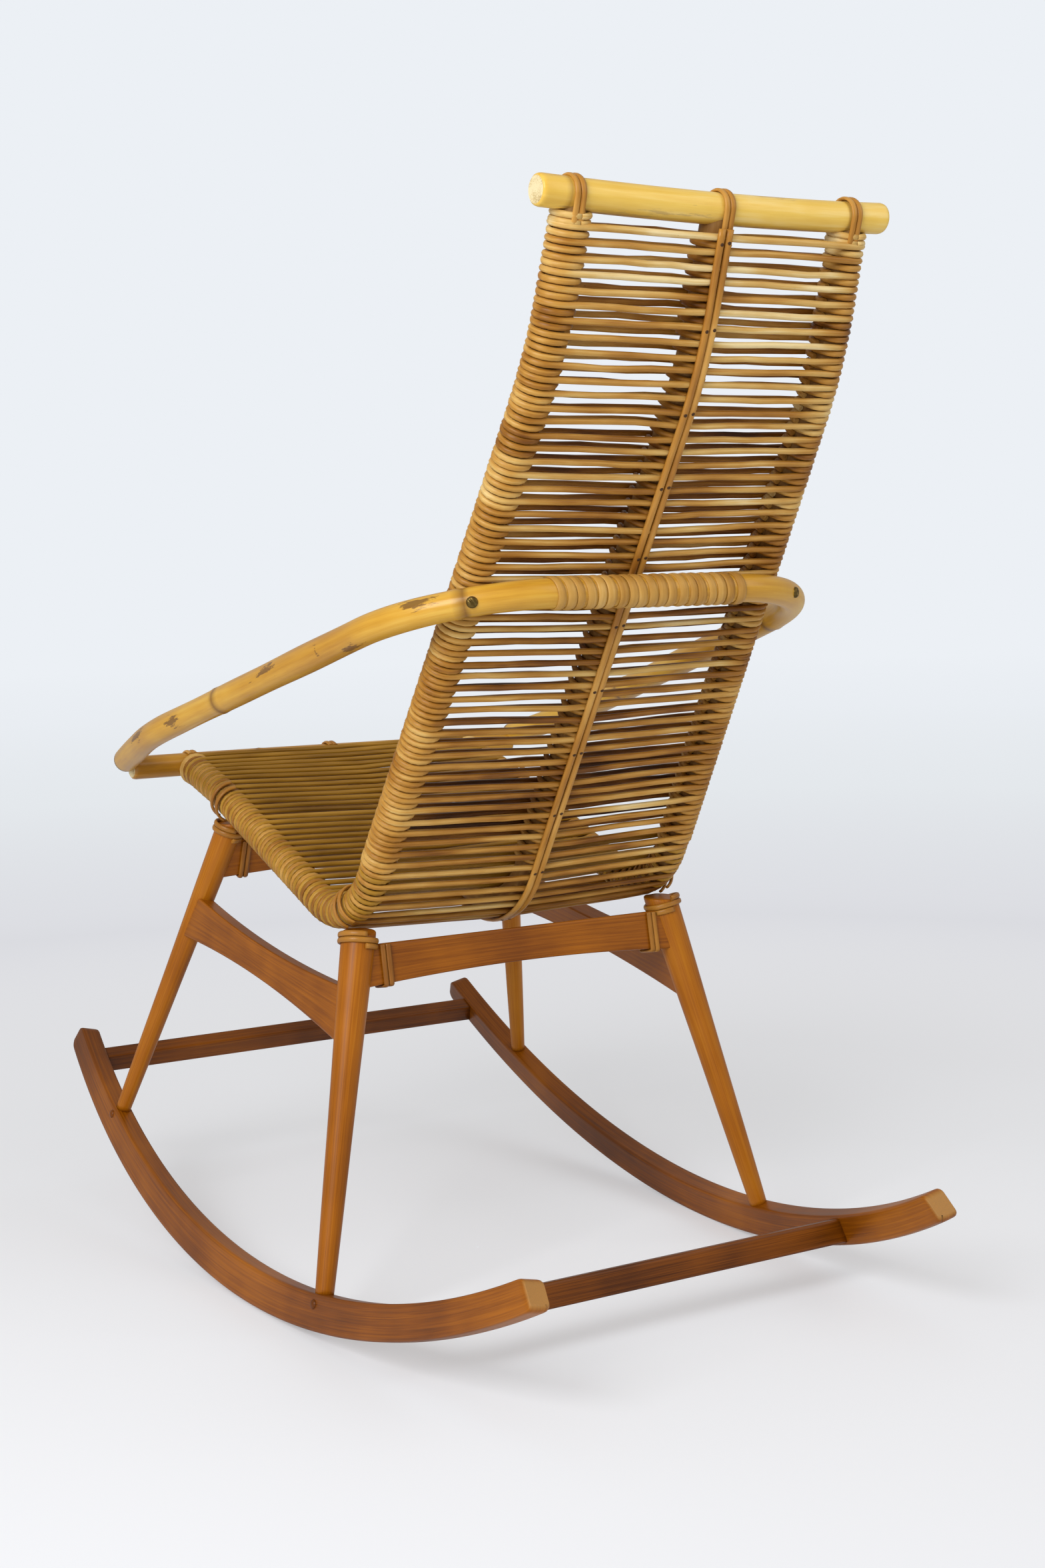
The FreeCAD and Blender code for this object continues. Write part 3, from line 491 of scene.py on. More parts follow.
def end_grain_finish():
    """Sawn end of a pole: pale fibres as fine dots, drawn at 1.2 mm so that they show."""
    made, tree, shader = blank("sawn_pole_end")
    place = add(tree, "ShaderNodeTexCoord")
    dots = add(tree, "ShaderNodeTexVoronoi", {"Scale": 800.0}, {"Vector": place.outputs["Object"]})
    cloud = add(tree, "ShaderNodeTexNoise", {"Scale": 90.0, "Detail": 3.0},
                {"Vector": place.outputs["Object"]})
    level = add(tree, "ShaderNodeMath", {"operation": "MULTIPLY_ADD", 1: 0.5},
                {0: dots.outputs["Distance"], 2: cloud.outputs["Fac"]})
    ramp = add(tree, "ShaderNodeValToRGB", {"Fac": 0.5}, {"Fac": level.outputs[0]},
               [(0.35, "#8c7040"), (0.6, "#c9b27e"), (0.85, "#e0cfa2")])
    tree.links.new(ramp.outputs["Color"], shader.inputs["Base Color"])
    shader.inputs["Roughness"].default_value = 0.75
    return made


def rail_finish():
    """Plain bent rail under the winding, seen only in the gaps."""
    stops = [(0.0, "#4d3113"), (0.5, "#8a6230"), (1.0, "#b9935a")]
    return fibred("covered_rail", stops, 12.0, 8.0, 0.15, 0.5, (8.0, 8.0, 8.0), 0.15, 0.05)[0]


def cane_finish():
    """Split cane of the ties and strips: honey to orange brown, tight skin, satin varnish."""
    stops = [(0.0, "#58300c"), (0.3, "#8a561b"), (0.6, "#b07a2e"), (1.0, "#d5a556")]
    made, _, shader, _ = fibred("tie_cane", stops, 6.0, 26.0, 0.12, 0.34, (14.0, 14.0, 14.0), 0.14, 0.12)
    varnish(shader, 0.15, 0.25)
    return made


def winding_finish():
    """Flat cane wound round the hoop: lighter skin with fine long fibres."""
    stops = [(0.0, "#6d4718"), (0.35, "#a47531"), (0.65, "#c0934a"), (1.0, "#dab673")]
    return fibred("flat_cane", stops, 7.0, 14.0, 0.14, 0.36, (26.0, 26.0, 26.0), 0.12, 0.1)[0]


def beech_finish():
    """Beech stained orange brown: fine straight grain along the piece, short dark flecks, satin lacquer."""
    stops = [(0.0, "#4a2200"), (0.25, "#7a4002"), (0.5, "#a05c08"), (0.75, "#b87618"), (1.0, "#ca9034")]
    made, tree, shader, ramp = fibred("stained_beech", stops,
                                      70.0, 9.0, 0.13, 0.36, (6.0, 6.0, 6.0), 0.14, 0.05)
    laid = scuffed(tree, ramp, shader, "#4f270a", (16.0, 16.0, 130.0), 0.7)
    darkened(tree, laid.outputs[2], shader, "worn", "#b08a50")
    varnish(shader, 0.06, 0.3)
    return made


def spotted_metal(name, dark, light, spot, metal, rough):
    """Old metal: two tones by a fine noise of the given scale and detail."""
    made, tree, shader = blank(name)
    place = add(tree, "ShaderNodeTexCoord")
    spots = add(tree, "ShaderNodeTexNoise", {"Scale": spot[0], "Detail": spot[1]},
                {"Vector": place.outputs["Object"]})
    tone = add(tree, "ShaderNodeMix", {"data_type": "RGBA", 6: dark, 7: light}, {0: spots.outputs["Fac"]})
    tree.links.new(tone.outputs[2], shader.inputs["Base Color"])
    shader.inputs["Metallic"].default_value = metal
    shader.inputs["Roughness"].default_value = rough
    return made


def nail_finish():
    """Small iron nails gone brown: rough, nearly black."""
    return spotted_metal("browned_nail", linear("#2a180a"), linear("#5a3a1c"), (500.0, 3.0), 0.5, 0.55)


def brass_finish():
    """Old brass screw heads: dull yellow metal with brown tarnish in the hollows."""
    return spotted_metal("aged_brass", linear("#4a3516"), tuple(colours().brass), (420.0, 4.0), 1.0, 0.42)


FINISHES = {}


def finish(maker):
    """A finish is made once and then shared."""
    if maker not in FINISHES:
        FINISHES[maker] = maker()
    return FINISHES[maker]


# Reed rows


def row_places(first, last, shift, pitch):
    count = int((last - first) / pitch)
    return first + (np.arange(count) + shift) * pitch


def laid_reeds(coil, cross, face, jitter, pressed=1.0):
    """Rows of reed: each comes up inside one rail, goes round its front and outer side, crosses the chair
    on the given face, and goes round the other rail the same way. Positions are rail point
    + radius x (normal cos a + side sin a) on the rails, and a line between them on the crossing; the length
    along the rail eases from the coil's place to the crossing's. Pressed is the coil's depth per width."""
    z = sizes()
    r = z.pole + 0.25 + z.reed
    k = len(coil)
    coil = coil + jitter * rng.uniform(-0.3, 0.3, k)
    cross = cross + jitter * rng.uniform(-0.5, 0.5, k)
    side = np.array([1.0, 0.0, 0.0])
    a = np.radians(np.linspace(285.0, 0.0, 13))
    ease = np.clip(1 - a / np.radians(75.0), 0, 1) ** 2
    p, t = walk(SIDE_RAIL, (coil[:, None] + (cross - coil)[:, None] * ease).reshape(-1))
    p, t = p.reshape(k, 13, 3), t.reshape(k, 13, 3)
    a = a[None, :, None]
    turn = p + r * (outward(t) * face * np.cos(a) + side * np.sin(a))
    p, t = walk(SIDE_RAIL, cross)
    n = outward(t) * face
    q, v = walk(CENTRE_RAIL, facing(cross))
    m = outward(v) * face
    f = np.linspace(1.0, -1.0, 13)[1:-1][None, :, None]
    bow = np.sqrt(f ** 2 + 0.006)
    edge, middle = (p + n * r)[:, None], (q + m * r)[:, None]
    line = middle + (edge - middle) * np.array([0.0, 1.0, 1.0]) * bow
    line = line * np.array([0.0, 1.0, 1.0]) + side * (p[:, None, :1] * f)
    wave = rng.normal(0.0, 1.0, (k, 11, 1)) * jitter * (1 - np.abs(f)) ** 0.3
    wave = (wave + np.roll(wave, 1, 1) + np.roll(wave, -1, 1)) / 3
    lift = rng.normal(0.0, 0.5, (k, 11, 1)) * jitter * (1 - np.abs(f))
    line = line + t[:, None] * wave + n[:, None] * np.abs(lift)
    line = np.concatenate([turn, line, (turn * np.array([-1.0, 1.0, 1.0]))[:, ::-1]], 1)
    up = np.broadcast_to(t[:, None] * np.array([0.0, 1.0, 1.0]), line.shape)
    size = z.reed * rng.uniform(0.93, 1.02, (k, 1, 1, 1))
    on_rail = np.concatenate([np.ones(12), [0.6], np.zeros(11), [0.6], np.ones(12)])
    press = np.stack([1 + 0.0 * on_rail, 1 - (1 - pressed) * on_rail], -1)[None, :, None]
    return sweep(line, directions(line), up, circle(8)[None, None] * size * press), on_rail


def end_turns(s, path=None, keep=(0.0, 360.0)):
    """Plain turns of reed round a rail, without a crossing."""
    z = sizes()
    p, t = walk(path or SIDE_RAIL, np.asarray(s))
    n = outward(t)
    a = np.radians(np.linspace(keep[0], keep[1], 17))[None, :, None]
    rim = n[:, None] * np.cos(a) + np.array([1.0, 0, 0]) * np.sin(a)
    line = p[:, None] + (z.pole + 0.25 + z.reed) * rim
    up = np.broadcast_to(t[:, None], line.shape)
    return sweep(line, directions(line), up, circle(8, z.reed * 0.97))


def row_tone(across, round_rail, spread, on_rail):
    """Tone of each reed along its length: one level on the crossing with slow drift, one round the rails."""
    k = len(across)
    drift = rng.normal(0.0, 0.09, (k, len(on_rail) + 4))
    drift = (drift[:, :-4] + drift[:, 1:-3] + drift[:, 2:-2] + drift[:, 3:-1] + drift[:, 4:]) / 2.6
    across = (across + rng.normal(0.0, spread, k))[:, None] + drift
    wrap = (round_rail + rng.normal(0.0, spread * 0.8, k))[:, None]
    return np.clip(across * (1 - on_rail) + wrap * on_rail, 0.02, 0.98)[:, :, None]


# Browner and paler stretches of the coil down the stiles: place, half length, change of tone
COIL_BANDS = ((28.0, 22.0, 0.3), (86.0, 13.0, -0.1), (128.0, 16.0, -0.2), (166.0, 20.0, 0.08),
              (212.0, 18.0, -0.16),
              (262.0, 20.0, 0.07), (318.0, 20.0, -0.12), (372.0, 22.0, 0.1), (430.0, 26.0, -0.14),
              (500.0, 24.0, 0.05), (560.0, 28.0, -0.1))


def hand_laid(s):
    """Rows drift from even spacing as the hand lays them: two slow waves."""
    return s - 1.4 - 1.6 * np.sin((s - 60.0) / 92.0) + 0.9 * np.sin((s - 300.0) / 47.0)


class CHAIR_OT_back_reeds(bpy.types.Operator):
    """Reeds that cross the back and wrap both stiles"""
    bl_idname = "chair.back_reeds"
    bl_label = "Back reeds"

    def execute(self, context):
        z = sizes()
        reed = finish(reed_finish)
        rows = row_places(ROW_START, BACK_END, 0.0, z.pitch)
        band = np.zeros_like(rows)
        for at, half, change in COIL_BANDS:
            band = band + change * np.exp(-((rows - at) / half) ** 2)
        across = np.interp(rows, [20.0, 60.0, 160.0, 330.0, 660.0], [0.8, 0.7, 0.62, 0.54, 0.42])
        for name, face, coil, wrap in (("back_reeds_rear", 1, 0.0, "back_wrap_left"),
                                       ("back_reeds_front", -1, 0.5, "back_wrap_right")):
            drift = 0.0 if face > 0 else 0.015 * (180.0 - rows)
            coils = hand_laid(rows + coil * z.pitch)
            grid, on_rail = laid_reeds(coils, hand_laid(rows) + drift, face, z.wander)
            # The reeds on the front face get a tone 0.2 lower: painted shade, as they are seen through the
            # gaps in the shade of the rear reeds.
            tone = row_tone(across - (0.2 if face < 0 else 0.0), 0.53 + 0.75 * band, 0.09, on_rail)
            skin(name + "_laid", grid, reed, (name, wrap), {"tone": tone})
        turns = end_turns(16.0 + z.reed * np.array([0.0, 1.9]))
        skin("stile_top_turns", np.concatenate([turns, mirrored(turns)]), reed, (),
             {"tone": np.array([0.9, 0.84, 0.8, 0.88])[:, None, None]})
        turns = end_turns(facing(rows + z.pitch / 2), CENTRE_RAIL, (-118.0, 118.0))
        # These turns take a low tone, 0.3 to 0.5: painted shade for their shadowed side; the spread between
        # turns is the reed's own.
        tone = rng.uniform(0.3, 0.5, (len(rows), 1, 1))
        skin("centre_rail_turns", turns, reed, (), {"tone": tone})
        return {"FINISHED"}


class CHAIR_OT_seat_reeds(bpy.types.Operator):
    """Reeds that cross the seat and wrap the side rails"""
    bl_idname = "chair.seat_reeds"
    bl_label = "Seat reeds"

    def execute(self, context):
        z = sizes()
        worn, reed = finish(seat_reed_finish), finish(reed_finish)
        first = ROW_START + len(row_places(ROW_START, BACK_END, 0.0, z.pitch)) * z.pitch
        for name, face, shift, wrap, look, level in (
                ("seat_reeds_under", 1, 0.0, "seat_wrap_left", reed, (0.42, 0.43)),
                ("seat_reeds_top", -1, 0.5, "seat_wrap_right", worn, (0.56, 0.74))):
            s = row_places(first, SIDE_RAIL[1] - ROW_END, shift, z.pitch)
            grid, on_rail = laid_reeds(s, s, face, 0.6 * z.wander, 0.55)
            tone = row_tone(level[0] + 0 * s, level[1] + 0 * s, 0.04, on_rail)
            skin(name + "_laid", grid, look, (name, wrap), {"tone": tone})
        turns = end_turns(SIDE_RAIL[1] - 14.5 - z.reed * np.array([0.0, 1.0]))
        skin("rail_front_turns", np.concatenate([turns, mirrored(turns)]), reed, (), {"tone": 0.78})
        return {"FINISHED"}


class CHAIR_OT_rails(bpy.types.Operator):
    """Bent side rails and centre rail under the reeds"""
    bl_idname = "chair.rails"
    bl_label = "Rails"

    def execute(self, context):
        z = sizes()
        for name, path, flip in (("side_rail_left", SIDE_RAIL, False), ("side_rail_right", SIDE_RAIL, True),
                                 ("centre_rail", CENTRE_RAIL, False)):
            s = np.linspace(8.0, path[1] - 8.0, 120)
            p, t = walk(path, s)
            grid = sweep(p, t, outward(t), circle(20, z.pole))
            grid = mirrored(grid) if flip else grid
            skin(name + "_pole", grid[None], finish(rail_finish), (name,), {"tone": 0.55})
        return {"FINISHED"}


class CHAIR_OT_strips(bpy.types.Operator):
    """Pair of half-round cane strips on the back of the centre rail, with their nails"""
    bl_idname = "chair.strips"
    bl_label = "Centre strips"

    def execute(self, context):
        z = sizes()
        off = z.pole + 0.5 + 2 * z.reed + 0.15
        s = np.linspace(17.0, CENTRE_RAIL[1] - 60.0, 150)
        p, t = walk(CENTRE_RAIL, s)
        n = outward(t)
        a = np.linspace(0.0, np.pi, 9)
        half = np.stack([3.2 * np.sin(a) ** 0.8, 3.5 * np.cos(a)], -1)
        half = np.concatenate([half, [[0.0, -1.7], [0.0, 0.0], [0.0, 1.7]]])
        for name, side in (("back_strip_left", 1), ("back_strip_right", -1)):
            wave = 0.3 * np.sin(s / 47.0 + side)[:, None] * np.array([1.0, 0, 0])
            line = p + n * off + np.array([side * 3.75, 0, 0]) + wave
            grid = sweep(line, t, n, half)
            tone = 0.68 + 0.12 * np.sin(s / 38.0 + 2 * side) - 0.08 * (side > 0)
            skin(name + "_cane", grid[None], finish(cane_finish), (name,),
                 {"tone": tone[None, :, None]})
        at = np.arange(29.0, CENTRE_RAIL[1] - 70.0, 72.0)
        p, t = walk(CENTRE_RAIL, at)
        n = outward(t)
        heads = []
        for side in (1, -1):
            base = p + n * (off + 2.7) + np.array([side * 3.75, 0, 0]) + t * (side * 0.8)
            lift = np.array([0.0, 0.45, 0.8, 0.9])
            line = base[:, None] + n[:, None] * lift[None, :, None]
            ring = circle(8)[None, None] * np.array([1.9, 1.7, 0.9, 0.1])[None, :, None, None]
            heads.append(sweep(line, np.broadcast_to(n[:, None], line.shape),
                               np.broadcast_to(t[:, None], line.shape), ring))
        skin("strip_nails", np.concatenate(heads), finish(nail_finish))
        return {"FINISHED"}


# Poles


def turned_pole(half, r, centre, ridge_at, dip=0.0, sides=36):
    """Pole along x: rings of radius r, rounded ends, low ridges at the growth rings, its middle dipping."""
    x = np.concatenate([np.linspace(-half, -half + 6, 6), np.linspace(-half + 8, half - 8, 130),
                        np.linspace(half - 6, half, 6)])
    gap = np.minimum(half - np.abs(x), 5.0)
    size = r - 2.2 * (1 - np.sqrt(1 - (1 - gap / 5.0) ** 2))
    ring = np.zeros_like(x)
    for at in ridge_at:
        size = size + 0.55 * np.exp(-((x - at) / 4.0) ** 2) - 0.35 * np.exp(-((x - at - 3.5) / 1.6) ** 2)
        ring = np.maximum(ring, np.exp(-((x - at - 3.2) / 1.8) ** 2))
    p = np.zeros((len(x), 3)) + np.array(centre)
    p[:, 0] = x
    p[:, 2] += 0.5 * np.sin(x / 95.0) - dip * (1 - (x / half) ** 2)
    t = np.zeros_like(p) + np.array([1.0, 0, 0])
    grid = sweep(p, t, np.zeros_like(p) + np.array([0, 0, 1.0]), circle(sides)[None] * size[:, None, None])
    return grid[None], ring[None, :, None] * 0.7


class CHAIR_OT_cross_poles(bpy.types.Operator):
    """Top rail and front pole"""
    bl_idname = "chair.cross_poles"
    bl_label = "Cross poles"

    def execute(self, context):
        z = sizes()
        grid, ring = turned_pole(179.0, z.top, (0, CREST[1], CREST[2]), (-138.0, 150.0), 3.4)
        skin("top_rail_pole", grid, finish(pale_pole_finish), ("top_rail",),
             {"tone": 0.66, "ring": ring}, finish(end_grain_finish))
        grid, ring = turned_pole(243.0, z.cross, (0, FRONT[1], FRONT[2]), (-120.0, 90.0))
        skin("front_pole", grid, finish(pole_finish), ("front_cross_pole",),
             {"tone": 0.3, "ring": ring}, finish(end_grain_finish))
        return {"FINISHED"}


class CHAIR_OT_hoop(bpy.types.Operator):
    """Arm hoop with its growth rings, flat cane winding and screws"""
    bl_idname = "chair.hoop"
    bl_label = "Arm hoop"
    # Worn places: length along the hoop, angle round it in degrees, half length, half width
    SCUFFS = ((414.0, 75.0, 26.0, 0.12), (555.0, 150.0, 18.0, 0.1), (122.0, 80.0, 26.0, 0.2),
              (507.0, 100.0, 5.0, 0.15),
              (215.0, 100.0, 22.0, 0.2), (640.0, 60.0, 30.0, 0.15), (1240.0, 70.0, 30.0, 0.15),
              (1400.0, 110.0, 24.0, 0.15), (1590.0, 80.0, 26.0, 0.2))

    def execute(self, context):
        z = sizes()
        s = np.linspace(0.0, HOOP[1], 330)
        p, t = walk(HOOP, s)
        size = np.full(len(s), z.hoop) + 0.25 * np.sin(s / 61.0) + 0.2 * np.sin(s / 23.0)
        ring = np.zeros_like(s)
        for at in (300.0, 674.0, 1150.0, 1475.0):
            size = size + 0.7 * np.exp(-((s - at) / 5.0) ** 2) - 0.4 * np.exp(-((s - at - 4.5) / 2.0) ** 2)
            ring = np.maximum(ring, np.exp(-((s - at - 4.0) / 4.2) ** 2))
        # The ring mark also darkens the last few millimetres at each end: painted shade along the joint where
        # the hoop's ends meet the front pole.
        ring = np.maximum(ring, np.exp(-(np.minimum(s, HOOP[1] - s) / 2.0) ** 2))
        turn = 2 * np.pi * np.arange(32) / 32
        scuff = np.zeros((len(s), 32))
        for at, angle, long, wide in self.SCUFFS:
            aside = np.cos(turn - math.radians(angle))
            scuff = scuff + np.exp(-((s - at) / long) ** 2)[:, None] * np.exp((aside - 1) / wide)[None]
        grid = sweep(p, t, np.zeros_like(p) + HOOP_UP, circle(32)[None] * size[:, None, None])
        skin("arm_hoop_pole", grid[None], finish(pole_finish), ("arm_hoop",),
             {"tone": 0.5, "ring": ring[None, :, None] * 0.85, "scuff": np.clip(scuff, 0, 1)[None]},
             finish(end_grain_finish))
        self.winding()
        self.screws()
        return {"FINISHED"}

    def winding(self):
        """Flat cane as a helix: angle 2 pi per turn, advance one pitch per turn."""
        z = sizes()
        turns = 19
        half = 103.0
        i = np.arange(turns * 24 + 1)
        a = 2 * np.pi * i / 24
        wobble = 0.8 * np.sin(i / 24 * 2.1) + 0.6 * np.sin(i / 24 * 5.3)
        p, t = walk(HOOP, HOOP[1] / 2 - half + 2 * half * i / (turns * 24) + wobble)
        up = unit(np.zeros_like(p) + HOOP_UP)
        out = up * np.cos(a)[:, None] + np.cross(t, up) * np.sin(a)[:, None]
        f = np.array([(-0.5, 0.0), (-0.46, 0.75), (-0.25, 1.3), (0.0, 1.5), (0.25, 1.3), (0.46, 0.75),
                      (0.5, 0.0)])
        wide = 9.7 - 1.6 * np.clip(np.sin(i / 24 * 2.9 + 1.0), 0, 1) ** 2
        grid = (p[:, None] + out[:, None] * (z.hoop + 0.35 + f[None, :, 1:2])
                + t[:, None] * (f[None, :, 0:1] * wide[:, None, None]))
        tone = 0.55 + 0.08 * np.sin(i / 24 * 1.7) + 0.05 * np.sin(i / 24 * 6.1)
        skin("hoop_winding_cane", grid[None, :, ::-1], finish(winding_finish),
             ("hoop_winding",), {"tone": tone[None, :, None]})

    def screws(self):
        """Round heads: rings of falling radius up the screw's line, with a straight slot pressed in."""
        z = sizes()
        h, run = (v[0] for v in walk(HOOP, [686.0]))
        up = unit(HOOP_UP)
        angle = math.radians(104.0)
        n = up * math.cos(angle) + np.cross(run, up) * math.sin(angle)
        rise, size = dome(5.2, 2.4, 1.0, 9)
        line = h + n * (z.hoop + rise[:, None])
        grid = sweep(line, np.zeros_like(line) + n, np.zeros_like(line) + run,
                     circle(24)[None] * size[:, None, None])
        across = (grid - h) @ unit(run + 0.6 * np.cross(n, run))
        slot = np.exp(-(across / 0.8) ** 4) * (rise > 1.0)[:, None]
        grid = grid - n * (slot * 1.1)[..., None]
        both = np.stack([grid, mirrored(grid)])
        skin("hoop_screw_heads", both, finish(brass_finish), ("hoop_screws",))


# Ties


# Half width and half thickness of the flat binding cane
FLAT = np.array([2.8, 1.6])


def strand(points, rounds, count=60):
    """Flattened strand along runs and bends: an ellipse that lies flat on what it goes round."""
    path = bends(points, rounds)
    p, t = walk(path, np.linspace(0.0, path[1], count))
    flat = np.cross(path[0][0][3], path[0][2][3])
    return sweep(p, t, np.zeros_like(p) + unit(flat), circle(10) * FLAT)


def u_tie(end, t, hold, x, legs):
    """U-shaped strand round a cross pole with both legs along the rail."""
    n = outward(t[None])[0]
    r = hold + 1.9
    far = end + t * r
    points = [end - t * legs + n * r, far + n * r, far - n * r, end - t * legs - n * r]
    points = [np.array([x, q[1], q[2]]) for q in points]
    return strand(points, (r * 0.98, r * 0.98))


class CHAIR_OT_ties(bpy.types.Operator):
    """Cane ties at the top rail and at the front pole"""
    bl_idname = "chair.ties"
    bl_label = "Ties"

    def execute(self, context):
        z = sizes()
        cane = finish(cane_finish)
        for name, at_end, hold, legs in (("top_rail_ties", False, z.top, 21.0),
                                         ("front_pole_ties", True, z.cross, 6.0)):
            grids = []
            edge = SIDE_X[4] if at_end else SIDE_X[0]
            aside = 0.0 if at_end else 3.0
            for path, x in ((SIDE_RAIL, edge + aside), (CENTRE_RAIL, -aside), (SIDE_RAIL, aside - edge)):
                p, t = walk(path, [path[1] if at_end else 0.0])
                for dx in (-2.9, 2.9):
                    dip = np.array([0.0, 0.0, 0.0 if at_end else -3.4 * (1 - (x / 179.0) ** 2)])
                    grids.append(u_tie(p[0] + dip, t[0] if at_end else -t[0], hold, x + dx, legs))
            tone = np.array([0.62, 0.74, 0.58, 0.7, 0.56, 0.68])[:, None, None]
            skin(name + "_cane", np.stack(grids), cane, (name,), {"tone": tone})
        return {"FINISHED"}


def rail_loop(s, start=-62.0, stop=88.0):
    """Strand laid over the outer half of a wound rail."""
    z = sizes()
    p, t = walk(SIDE_RAIL, [s])
    n = outward(t)[0]
    o = unit(np.cross(n, t[0]))
    o = o if o[0] > 0 else -o
    a = np.radians(np.linspace(start, stop, 40))[:, None]
    line = p[0] + (z.pole + 0.5 + 2 * z.reed + FLAT[1]) * (o * np.cos(a) - n * np.sin(a))
    return sweep(line, directions(line), np.zeros_like(line) + t[0], circle(10) * FLAT)


# Base


def leg_line(leg):
    a = np.array([0.0, leg["foot"][0], leg["foot"][1]])
    b = np.array([0.0, leg["high"][0], leg["high"][1]])
    d = b - a
    return a, d / np.linalg.norm(d), np.linalg.norm(d)


def leg_at(leg, w):
    a, d, _ = leg_line(leg)
    return a + d * ((w - a[2]) / d[2])


def on_axis(leg, z):
    """Point on a leg's axis at a level of the chair."""
    a, d, _ = leg_line(leg)
    p, q = to_side(a), to_side(a + d)
    return p + (q - p) * ((z - p[2]) / (q[2] - p[2])), unit(q - p)


def bottom_w(y):
    return ROCKER["radius"] - np.sqrt(ROCKER["radius"] ** 2 - y ** 2)


def kept_off(points, path, r):
    """Push points that lie inside a wound rail out to its surface."""
    s = np.linspace(0.0, path[1], 900)
    axis = walk(path, s)[0]
    flat = points.reshape(-1, 3)
    gap = np.linalg.norm(flat[:, None] - axis[None], axis=-1)
    near = np.argmin(gap, 1)
    d = flat - axis[near]
    far = np.linalg.norm(d, axis=1, keepdims=True)
    return np.where(far < r, axis[near] + d / far * r, flat).reshape(points.shape)


def turned_leg(leg):
    """Taper along the leg's axis: each ring point runs from the rocker to the level cut at the leg's top."""
    a, d, length = leg_line(leg)
    rate = (leg["r"][1] - leg["r"][0]) / length
    angle = 2 * np.pi * np.arange(28) / 28
    side = np.array([1.0, 0, 0])
    rim = np.cos(angle)[:, None] * side + np.sin(angle)[:, None] * np.cross(d, side)
    base, way = to_side(a), to_side(a + d) - to_side(a)
    lean = to_side(a + rim) - base
    top = (leg["top"] - base[2] - 15.0 * lean[:, 2]) / way[2]
    slope = math.asin(leg["foot"][0] / ROCKER["radius"])
    up = np.array([0.0, -math.sin(slope), math.cos(slope)])
    low = (-1.0 - leg["r"][0] * (rim @ up)) / (d @ up)
    f = np.concatenate([np.linspace(0, 0.97, 60), [0.985, 0.994, 0.998, 1.0]])
    s = low + f[:, None] * (top - low)
    size = leg["r"][0] + rate * s
    swell = 0.12 * np.sin(f * 9.0)[:, None]
    bevel = np.zeros(len(f))
    bevel[-4:] = (0.0, 0.15, 0.5, 1.3)
    size = size + swell - bevel[:, None]
    local = a + d * s[..., None] + rim[None] * size[..., None]
    return kept_off(to_side(local), SIDE_RAIL, sizes().pole + 2 * sizes().reed + 0.3)


def leg_ring(leg):
    """Two turns of cane round the leg under its top: a helix with one strand's width of advance per turn."""
    d = on_axis(leg, leg["top"])[1]
    base = on_axis(leg, leg["top"] - 3.0 - 2 * 5.8 * d[2])[0]
    a, _, length = leg_line(leg)
    rate = (leg["r"][1] - leg["r"][0]) / length
    r = leg["r"][0] + rate * np.linalg.norm(base - to_side(a)) + FLAT[1] + 0.25
    i = np.linspace(0.0, 2.0, 65)[:, None]
    u = unit(np.cross(d, np.array([1.0, 0, 0])))
    w = np.cross(d, u)
    angle = 2 * np.pi * i
    line = base + d * (5.8 * i) + (u * np.cos(angle) + w * np.sin(angle)) * (r + rate * 5.8 * i)
    return sweep(line, directions(line), np.zeros_like(line) + d, circle(10) * FLAT), r


def apron_strap(leg, levels, x):
    """Strand down one face of an apron, under its edge and up the other face."""
    low, top = on_axis(leg, levels[0])[0], on_axis(leg, levels[1])[0]
    lean = unit(np.array([0.0, top[1] - low[1], top[2] - low[2]]))
    across = np.cross(lean, np.array([1.0, 0, 0]))
    rise = APRON_ARCH * (1 - (x / low[0]) ** 2)
    out = APRON_THICK / 2 + FLAT[1] + 0.25
    foot = np.array([x, low[1], low[2]]) + lean * (rise - FLAT[1] - 0.25)
    head = np.array([x, top[1], top[2]]) - lean
    points = [head + across * out, foot + across * out, foot - across * out, head - across * out]
    return strand(points, (2.3, 2.3))


class CHAIR_OT_legs(bpy.types.Operator):
    """Turned legs and their cane bindings"""
    bl_idname = "chair.legs"
    bl_label = "Legs"

    def execute(self, context):
        beech, cane = finish(beech_finish), finish(cane_finish)
        for name, leg, levels in (("rear", REAR_LEG, REAR_APRON), ("front", FRONT_LEG, FRONT_APRON)):
            turned = turned_leg(leg)
            ring, r = leg_ring(leg)
            inner = on_axis(leg, levels[1])[0][0] - r - 3.0
            straps = [apron_strap(leg, levels, inner - dx) for dx in (0.0, 5.8)]
            s = np.linspace(0.0, SIDE_RAIL[1], 2000)
            near = s[np.argmin(np.linalg.norm(walk(SIDE_RAIL, s)[0] - on_axis(leg, leg["top"])[0], axis=1))]
            loops = [rail_loop(near + ds) for ds in (-6.0, 6.0)]
            for side, turn in SIDES:
                skin("%s_leg_%s_turned" % (name, side), turn(turned)[None], beech,
                     ("%s_leg_%s" % (name, side),), {"tone": 0.52, "worn": 0.0})
                skin("%s_binding_%s_ring" % (name, side), turn(ring)[None], cane,
                     ("%s_binding_%s" % (name, side),), {"tone": 0.5})
                skin("%s_binding_%s_straps" % (name, side), np.stack([turn(g) for g in straps]), cane,
                     (), {"tone": 0.34})
                skin("%s_binding_%s_loops" % (name, side), np.stack([turn(g) for g in loops]), cane,
                     (), {"tone": 0.5})
        return {"FINISHED"}


